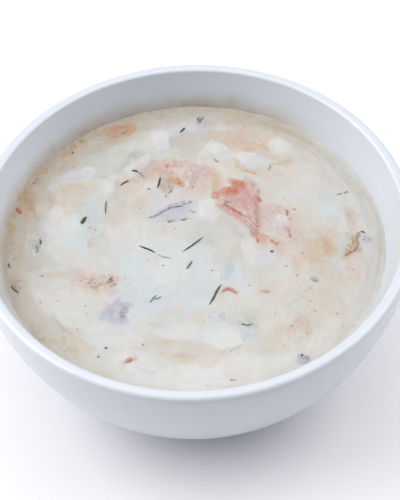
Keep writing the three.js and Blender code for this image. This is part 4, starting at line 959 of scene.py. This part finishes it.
# ---- The model ----
# Herb threads: route, width, and shares of olive, of teal and of the cream that veils them.
HERBS = (
    (((-16.6, 1.1), (-14.9, 0), (-13.2, -0.9), (-11.4, -2.3)), 0.55, 0, 0, 0),
    (((-11.6, -2.2), (-10.2, -3.2), (-8.4, -4), (-6.4, -4.4)), 0.4, 0, 0.6, 0.8),
    (((3.1, 3.8), (1.2, 1.9), (-1.3, -0.3), (-3.9, -2.3)), 0.6, 0.1, 0.15, 0),
    (((-0.6, -5.5), (-1.6, -7.2), (-2.6, -9)), 0.65, 0.25, 0, 0.1),
    (((7.7, -14.6), (6.2, -17.2), (5, -20), (3.5, -22.8)), 0.85, 0.15, 0.1, 0),
    (((-18.5, 31), (-17.4, 30.9), (-16.2, 30.3)), 0.7, 0, 0, 0.1),
    (((-16.6, 30.5), (-15.4, 29.4), (-14.4, 27.8)), 0.35, 0.1, 0, 0.35),
    (((-26, 19.6), (-26.3, 16.4), (-26.3, 13.4)), 0.5, 0.2, 0.1, 0.1),
    (((-1.5, 48.4), (-2.3, 47.2), (-3.3, 46.2)), 0.65, 0, 0, 0),
    (((2.1, 52.4), (2.9, 51.2), (3.8, 50.4)), 0.6, 0, 0.2, 0.2),
    (((4.6, 52.6), (3.4, 51.4), (2, 50.6)), 0.5, 0, 0.2, 0.3),
    (((3, 53.2), (3, 51.6), (2.6, 49.4)), 0.45, 0, 0.3, 0.4),
    (((-32, 13.2), (-32.6, 11.6), (-33.6, 10)), 0.9, 0, 0, 0),
    (((-32.6, 13), (-33.2, 11.9), (-33.9, 10.7)), 0.7, 0.8, 0, 0.1),
    (((-22, 24.9), (-20.4, 26.3), (-18.9, 27)), 0.75, 0.45, 0, 0),
    (((-11.4, -17.9), (-12.6, -19.4), (-13.6, -21.2)), 0.6, 0, 0.6, 0.2),
    (((-10, -18.6), (-11.2, -19.4), (-12.4, -19.6)), 0.45, 0, 0.7, 0.3),
    (((-46.2, 5), (-45.6, 3.8), (-46, 2.4)), 0.6, 0, 0.1, 0.1),
    (((-47.4, 2.6), (-46.6, 1.2), (-46.8, -0.6)), 0.6, 0, 0.4, 0.4),
    (((33.2, -13.6), (34.7, -14.1), (36.1, -15.2)), 1.7, 0, 0.8, 0.6),
    (((-54.2, -12.4), (-53.2, -14), (-51.6, -15.6)), 0.6, 0.1, 0, 0.15),
    (((-55, -3.8), (-54.9, -4.9), (-54.5, -6)), 0.5, 0.1, 0, 0.1),
    (((43.6, 18.2), (44.4, 18.3), (45.2, 18.7)), 0.6, 0, 0, 0.6),
    (((45.8, 18.6), (46.3, 18.9), (46.9, 19.5)), 0.5, 0, 0.2, 0.4),
    (((24.4, 31.4), (23.9, 30.3), (23.4, 29)), 0.4, 0.3, 0, 0.6),
    (((13.2, -30), (14.4, -30.3), (16, -29.9)), 0.7, 0, 0.7, 0.25),
    (((7, 35), (7.6, 33.9), (8.6, 33)), 0.3, 0.2, 0, 0.5),
    (((-8, 10.4), (-6.9, 10), (-6, 10.5)), 0.55, 0.4, 0, 0.55),
    (((-4.2, 10.2), (-3, 10.5), (-1.8, 10.9)), 0.5, 0, 0, 0.65),
    (((49.6, 3.4), (50.3, 3.1), (51, 2.6)), 0.6, 0.5, 0, 0.1),
    (((-9.6, 28.2), (-9.9, 26), (-10.6, 23.2)), 0.7, 0, 0, 0),
    (((-6.2, 22.8), (-6.6, 22), (-7.2, 21.3)), 0.6, 0.1, 0, 0.5),
)
# Shreds of tomato skin: route, width, thickness, how bare of cream.
SHREDS = (
    (((7.4, -17.9), (9.4, -16.7), (11.9, -18.5)), 1, 0.7, 1),
    (((-20.8, -42), (-19.4, -41.1), (-18.2, -41.3)), 1.2, 0.7, 1),
    (((-53.3, 18.2), (-52.6, 16.4), (-51.4, 14.6)), 1.1, 0.7, 1),
    (((-48.6, 26.6), (-47.6, 28.4), (-46.8, 30.2)), 1, 0.6, 0.5),
    (((8.4, -50), (9.4, -49.4), (10.3, -49.9)), 0.8, 0.6, 0.6),
    (((18, -18.4), (19.8, -18.1), (21.8, -18.6)), 0.8, 0.3, 0.1),
)
# Coarse pepper and spice: x, y, radius, red.
SPECKS = (
    (22.8, -3.2, 0.9, 0.1), (29.8, -12.6, 0.6, 0.8), (33.2, -17.6, 0.5, 0.9), (33.1, -22.4, 0.5, 0.1),
    (34.1, -26, 0.5, 0.3), (40.4, -27.3, 0.5, 0.2), (27.1, -31.3, 0.5, 0.3), (31.2, -34, 0.5, 0.3),
    (22.5, -26.7, 0.4, 0.1), (26.8, -8.8, 0.5, 0), (32, -4.2, 0.5, 0.5), (-13.2, 23.3, 0.6, 0), (-8.1, 20, 0.6, 0),
    (-9.3, -7, 0.5, 0), (50.3, -8.4, 0.45, 0.4), (-26.2, -36.7, 0.7, 0.1), (-28.5, -39.9, 0.6, 0),
    (-15.6, -35.9, 0.5, 0.5), (-36.6, 39.4, 0.8, 0.3), (-44.9, -9.3, 0.5, 0.7), (27.4, 17.3, 0.35, 0),
    (46.1, -11.2, 0.5, 0.4), (-31, 8.8, 0.5, 0), (-29.4, 7.8, 0.45, 0), (-33, 17.9, 0.45, 0.2),
    (-16, 15.7, 0.45, 0.1), (5, -9.6, 0.5, 0.2), (15.6, -15.8, 0.45, 0), (-31, 45.5, 0.4, 0.6),
    (-46.8, 27, 0.6, 0.9), (-24.9, -11.7, 0.85, 0.1), (29.5, -41.7, 0.7, 0), (28.2, 12.4, 0.45, 0.6),
    (28.5, 4.4, 0.4, 0.7), (30.6, 13, 0.45, 0.2), (-23.8, -13.5, 0.6, 0.4), (26.6, 9.4, 0.35, 0.7),
    (28.8, 2.4, 0.6, 0.2), (-24.8, -13.9, 0.45, 0.7), (18.9, 0.8, 0.6, 0.3), (0.4, 13.3, 0.5, 1),
    (-7.4, 9.6, 0.4, 0.1), (17, 47.8, 0.4, 0.1), (11.6, 45.5, 0.45, 0.2), (-31.2, -12.6, 0.5, 0.6),
    (-33.4, -11.4, 0.45, 0.5), (-45.4, -19.3, 0.4, 0), (-40.3, -18.9, 0.35, 0), (-32.2, -21.2, 0.5, 0),
    (-31.8, -23.9, 0.4, 0.1), (-34.5, -29.8, 0.5, 0.2), (-38.3, -32.5, 0.45, 0.2), (-21.5, -24, 0.6, 0),
    (31, -42.9, 0.5, 0), (13.2, -30, 0.7, 0), (13, -35.6, 0.4, 0.1), (24.4, -38.3, 0.35, 0.2),
    (9.4, -39.5, 0.35, 0.1), (7.6, -12.6, 0.4, 0), (34.8, 0, 0.4, 0.5), (-2.8, 10, 0.5, 0), (-5.6, 7, 0.35, 0.2),
    (5.4, -0.4, 0.35, 0.1), (44.6, -32.2, 0.4, 0.3),
)
# Seeded dust: how many, x, y and half sizes of the oval that they fall in, turn, largest radius, red.
DUST = (
    (70, 0, 0, 50, 50, 0, 0.17, 0.35), (60, 26.5, 8, 4.5, 8.5, 24, 0.24, 0.85), (50, -3, 31, 9, 4, -12, 0.22, 0.75),
    (40, 32, -28, 9, 11, 10, 0.2, 0.55), (34, 36, -2, 7, 7, 0, 0.2, 0.6), (26, 16, 42, 10, 5, -18, 0.2, 0.5),
    (26, -24, -13, 7, 5, -20, 0.22, 0.6), (30, 17, 16, 6, 9, 40, 0.22, 0.8), (20, -23.5, -24, 4, 4.5, 0, 0.2, 0.1),
    (40, -48, 8, 7, 34, 8, 0.22, 0.5), (18, 44, 2, 5, 12, 0, 0.2, 0.4), (16, 8, -28, 8, 5, 0, 0.2, 0.05),
)

# Longer than a side of a grain and shorter than across it, of radius 1; and how far out the dust falls.
GRAIN_SIDE, DUST_EDGE = 1.1, 55.2


def speck_parts():
    """Uneven grains of twenty sides: the coarse ones, then the dust."""
    random = np.random.default_rng(DUST_SEED)
    golden = 0.5 * (1.0 + math.sqrt(5.0))
    signs = [(a, b * golden) for b in (1, -1) for a in (1, -1)]
    corners = [(0, a, b) for a, b in signs] + [(a, b, 0) for a, b in signs]
    corners = np.array(corners + [(a * golden, 0, b / golden) for a, b in signs]) / math.hypot(1.0, golden)
    faces = []
    for a, b, c in itertools.combinations(range(12), 3):
        to_b, to_c = corners[b] - corners[a], corners[c] - corners[a]
        if max(np.linalg.norm(side) for side in (to_b, to_c, to_b - to_c)) < GRAIN_SIDE:
            faces.append((a, b, c) if np.dot(np.cross(to_b, to_c), corners[a]) > 0 else (a, c, b))
    spots = [(x, y, 0.55 * radius, red, 0.1 if radius > 0.6 else 0.5) for x, y, radius, red in SPECKS]
    for count, at_x, at_y, long, short, turn, largest, red in DUST:
        c, s = math.cos(math.radians(turn)), math.sin(math.radians(turn))
        for _ in range(count):
            way, out = random.uniform(0.0, 2.0 * math.pi), math.sqrt(random.uniform(0.0, 1.0))
            along, across = long * out * math.cos(way), short * out * math.sin(way)
            x, y = at_x + along * c - across * s, at_y + along * s + across * c
            radius, is_red = largest * random.uniform(0.35, 0.85), float(random.uniform() < red)
            veil = random.uniform(0.3, 0.8)
            if math.hypot(x, y) < DUST_EDGE:
                spots.append((x, y, radius, is_red, veil))
    parts = []
    at_x, at_y = np.array([spot[:2] for spot in spots]).T
    at_y = at_y - SLANT * (tops_at(at_x, at_y - SLANT) - SAUCE_LEVEL)
    for (x, _, radius, red, veil), y, ground in zip(spots, at_y, tops_at(at_x, at_y)):
        shape = corners * random.uniform(0.7, 1.15, (12, 1)) * radius * random.uniform(0.75, 1.25, 3)
        parts.append((shape + (x, y, ground + 0.15 * radius), faces, {"red": red, "veil": veil}))
    return parts


# Strips at the surface: name, width, rise, depth, route.
STRIPS = (
    ("onion_strip", 1.5, 0.5, 1.9, ((-13.4, 11.3), (-10.6, 12.4), (-7.6, 14.7), (-3.6, 16.1), (-0.4, 16.8))),
    ("tomato_skin", 1.5, 0.7, 1.8, ((44.3, -6.6), (45.5, -5.2), (46.9, -4.1), (47.8, -2.3), (47.7, -0.4),
     (48.3, 1.4), (49.6, 2.4))),
)


def tints_of(points):
    """The tints of a piece, painted where the photo shows it."""
    x, y, height = points.T
    return tints_at(x, photo_y(y, np.maximum(height, SAUCE_LEVEL - 2.0)))


def note_top(points):
    """Keeps the upper side of a piece, for what lies on it."""
    PIECE_TOPS.append(points[points[:, 2] > sauce_top(points[:, 0], points[:, 1]) - 0.3])


points, faces = lathe(bowl_profile(), BOWL_SIDES)
inside = (np.hypot(points[:, 0], points[:, 1]) < RIM_RADIUS - RIM_WIDTH + 0.3) & (points[:, 2] > SAUCE_LEVEL - 0.5)
inside = inside * (0.1 + 0.9 * smooth(points[:, 1] - 1.2 * points[:, 0], -20.0, 40.0))
place("dressed_bowl", points, faces, porcelain_looks(), ["bowl"], {"inside": inside})
points, faces = sauce_mesh(SAUCE_RINGS)
place("dressed_sauce", points, faces, food_looks("cream_sauce"), ["sauce"], tints_of(points))

# The food materials, and the slots of the pieces that aren't onion.
FOODS = {
    "tomato": food_looks("tomato", 0.8, Specular_IOR_Level=0.5),
    "coated_tomato": food_looks("coated_tomato", 0.1),
    "fried_skin": food_looks("fried_skin", 0.8, Specular_IOR_Level=0.5),
    "onion": food_looks("onion", 0.2),
}
SLOTS = {
    "tomato_main": "tomato", "tomato_tail": "tomato", "tomato_mid": "coated_tomato", "tomato_left": "coated_tomato",
    "tomato_back": "coated_tomato", "tomato_skin": "fried_skin",
}
for name, rise, depth, ripple, grain, slope, outline in CHUNKS:
    span = np.ptp(np.array(outline), axis=0).max()
    sides, rings, slot = 24 + 8 * int(span), 8 + int(1.6 * span), SLOTS.get(name, "onion")
    creased = name == "tomato_main"
    points, faces = chunk_mesh(rise, depth, ripple, grain, slope, outline, creased, sides, rings)
    place("dressed_" + name, points, faces, FOODS[slot], [name], tints_of(points))
    note_top(points)
for name, width, rise, depth, route in STRIPS:
    points, faces = ribbon_mesh(route, width, rise, depth, steps=80, sides=24, lift=0.0, seed=3.0)
    rough = cloud(*points[:, :2].T, 1.1, 3, 5.0)
    points[:, :2] += 0.35 * np.stack([cloud(*points[:, :2].T, 1.8, 2, shift) for shift in (1.0, 8.0)], 1)
    points[:, 2] += 0.22 * rough
    slot = SLOTS.get(name, "onion")
    values = tints_of(points)
    if name == "onion_strip":
        values["grey_and_shade"] = np.full(len(points), 0.6)
        values["violet"] = 0.25 + 0.6 * smooth(rough, -0.4, 0.3)
        values["dark"] = 0.28 * smooth(rough, 0.0, 0.5)
    if name == "tomato_skin":
        values["ochre"] = 0.55 + 0.4 * smooth(rough, -0.4, 0.4)
        values["tomato"] = 0.3 * smooth(cloud(*points[:, :2].T, 2.2, 3, 15.0), 0.0, 0.5)
        values["deep"] = 0.55 * smooth(np.abs(rough), 0.35, 0.8)
        values["dark"] = 0.5 * smooth(-rough, 0.35, 0.7)
    place("dressed_" + name, points, faces, FOODS[slot], [name], values)
    note_top(points)

herb_parts = []
for number, (route, width, olive, teal, veil) in enumerate(HERBS):
    points, faces = ribbon_mesh(route, 0.82 * width, above=0.24, below=0.35, steps=30, sides=10, lift=0.12,
                                seed=1.7 * number, ends=0.26, taper=0.9, in_photo=True)
    herb_parts.append((points, faces, {"olive": olive, "teal": teal, "veil": veil}))
points, faces, values = gathered(herb_parts)
herb = topping_looks("herb", 1.2, ((40, 50, 47), (68, 80, 72)),
                     {"olive": (140, 146, 92), "teal": (128, 158, 150), "veil": (208, 208, 204)},
                     rough_grain=0.9, rough=0.4, bump_grain=0.5, bump=0.08)
place("herb_threads", points, faces, herb, [], values)
shred_parts = []
for number, (route, width, thickness, bare) in enumerate(SHREDS):
    points, faces = ribbon_mesh(route, width, 0.5 * thickness, 0.5 * thickness, steps=40, sides=16, lift=0.05,
                                seed=2.3 * number, ends=0.3, taper=0.7, in_photo=True)
    rough = cloud(*points[:, :2].T, 0.9, 2, 3.0 * number)
    points += 0.2 * np.stack([rough, np.roll(rough, 7), np.roll(rough, 3)], 1)
    values = tints_of(points)
    values["tomato"] = bare * np.clip(0.75 + 0.5 * rough, 0.0, 1.0)
    values["ochre"] = 0.5 * bare * smooth(-rough, 0.1, 0.6)
    values["deep"] = 0.7 * bare * smooth(cloud(*points[:, :2].T, 1.6, 2, 7.0), 0.1, 0.6)
    shred_parts.append((points, faces, values))
points, faces, values = gathered(shred_parts)
place("tomato_shreds", points, faces, FOODS["tomato"], [], values)
points, faces, values = gathered(speck_parts())
spice = topping_looks("spice", 0.5, ((76, 64, 60), (112, 98, 88)),
                      {"red": (198, 116, 88), "veil": (206, 200, 192)},
                      rough_grain=0.7, rough=0.45, bump_grain=0.35, bump=0.06)
place("pepper_and_spice", points, faces, spice, [], values)

# ---- Floor, light and camera ----
FLOOR_RADIUS, FLOOR_SIDES = 1.6, 96
mesh = bpy.data.meshes.new("floor")
mesh.from_pydata(ring_of(FLOOR_RADIUS, 0.0, FLOOR_SIDES).tolist(), [], [tuple(range(FLOOR_SIDES))])
looks = Looks("floor", Roughness=0.6, Specular_IOR_Level=0.2)
shade = looks.mix(looks.drift(60.0, 2.0), (0.85, 0.845, 0.875, 1.0), (0.86, 0.855, 0.88, 1.0))
mesh.materials.append(looks.finish(shade))
floor = bpy.data.objects.new("floor", mesh)
bpy.context.scene.collection.objects.link(floor)
# Disc lights: name, place in metres, how wide, watts, colour.
LIGHTS = (
    ("left", (-0.77, 0.13, 0.62), 1.0, 10.3, (1.0, 0.99, 0.98)),
    ("right", (0.75, 0.24, 0.65), 1.0, 6.7, (1.0, 0.99, 0.98)),
    ("top", (0.0, -0.02, 1.2), 1.6, 9.5, (0.98, 0.99, 1.0)),
)
LIGHTS_AIM, WORLD_COLOUR, WORLD_STRENGTH = (0.0, 0.0, 0.04), (0.96, 0.98, 1.0, 1.0), 0.16
# The camera: its place, its angles, how far its middle is from the rim's across and up, in metres, and its lens.
CAMERA_AT, ELEVATION, ROLL = Vector((0.0, -0.3913, 0.5149)), math.radians(49.3), math.radians(2.1)
AIM_RIGHT, AIM_UP, LENS_MM, SENSOR_MM = 0.001634, -0.008936, 147.6, 36.0


def aimed(place_at, target):
    """A matrix at a place whose -Z axis looks at a target."""
    matrix = (Vector(target) - Vector(place_at)).to_track_quat("-Z", "Y").to_matrix().to_4x4()
    matrix.translation = place_at
    return matrix


for name, place_at, width, power, colour in LIGHTS:
    light = bpy.data.lights.new(name, "AREA")
    light.shape, light.size, light.energy, light.color = "DISK", width, power, colour
    lamp = bpy.data.objects.new(name, light)
    lamp.matrix_world = aimed(place_at, LIGHTS_AIM)
    bpy.context.scene.collection.objects.link(lamp)
world = bpy.data.worlds.new("studio")
world.use_nodes = True
world.node_tree.nodes["Background"].inputs["Color"].default_value = WORLD_COLOUR
world.node_tree.nodes["Background"].inputs["Strength"].default_value = WORLD_STRENGTH
bpy.context.scene.world = world
bpy.context.scene.view_settings.view_transform = "Standard"
bpy.context.scene.view_settings.look = "None"

right, up = Vector((1.0, 0.0, 0.0)), Vector((0.0, math.sin(ELEVATION), math.cos(ELEVATION)))
back = (CAMERA_AT - Vector((0.0, 0.0, BOWL_HEIGHT * MM)) - AIM_RIGHT * right - AIM_UP * up).normalized()
side = math.cos(ROLL) * right - math.sin(ROLL) * up
side = (side - side.dot(back) * back).normalized()
matrix = Matrix((side, back.cross(side), back)).transposed().to_4x4()
matrix.translation = CAMERA_AT
lens = bpy.data.cameras.new("photo_view")
lens.lens, lens.sensor_width, lens.clip_start = LENS_MM, SENSOR_MM, 0.01
camera = bpy.data.objects.new("photo_view", lens)
camera.matrix_world = matrix
bpy.context.scene.collection.objects.link(camera)
bpy.context.scene.camera = camera

bpy.context.view_layer.update()
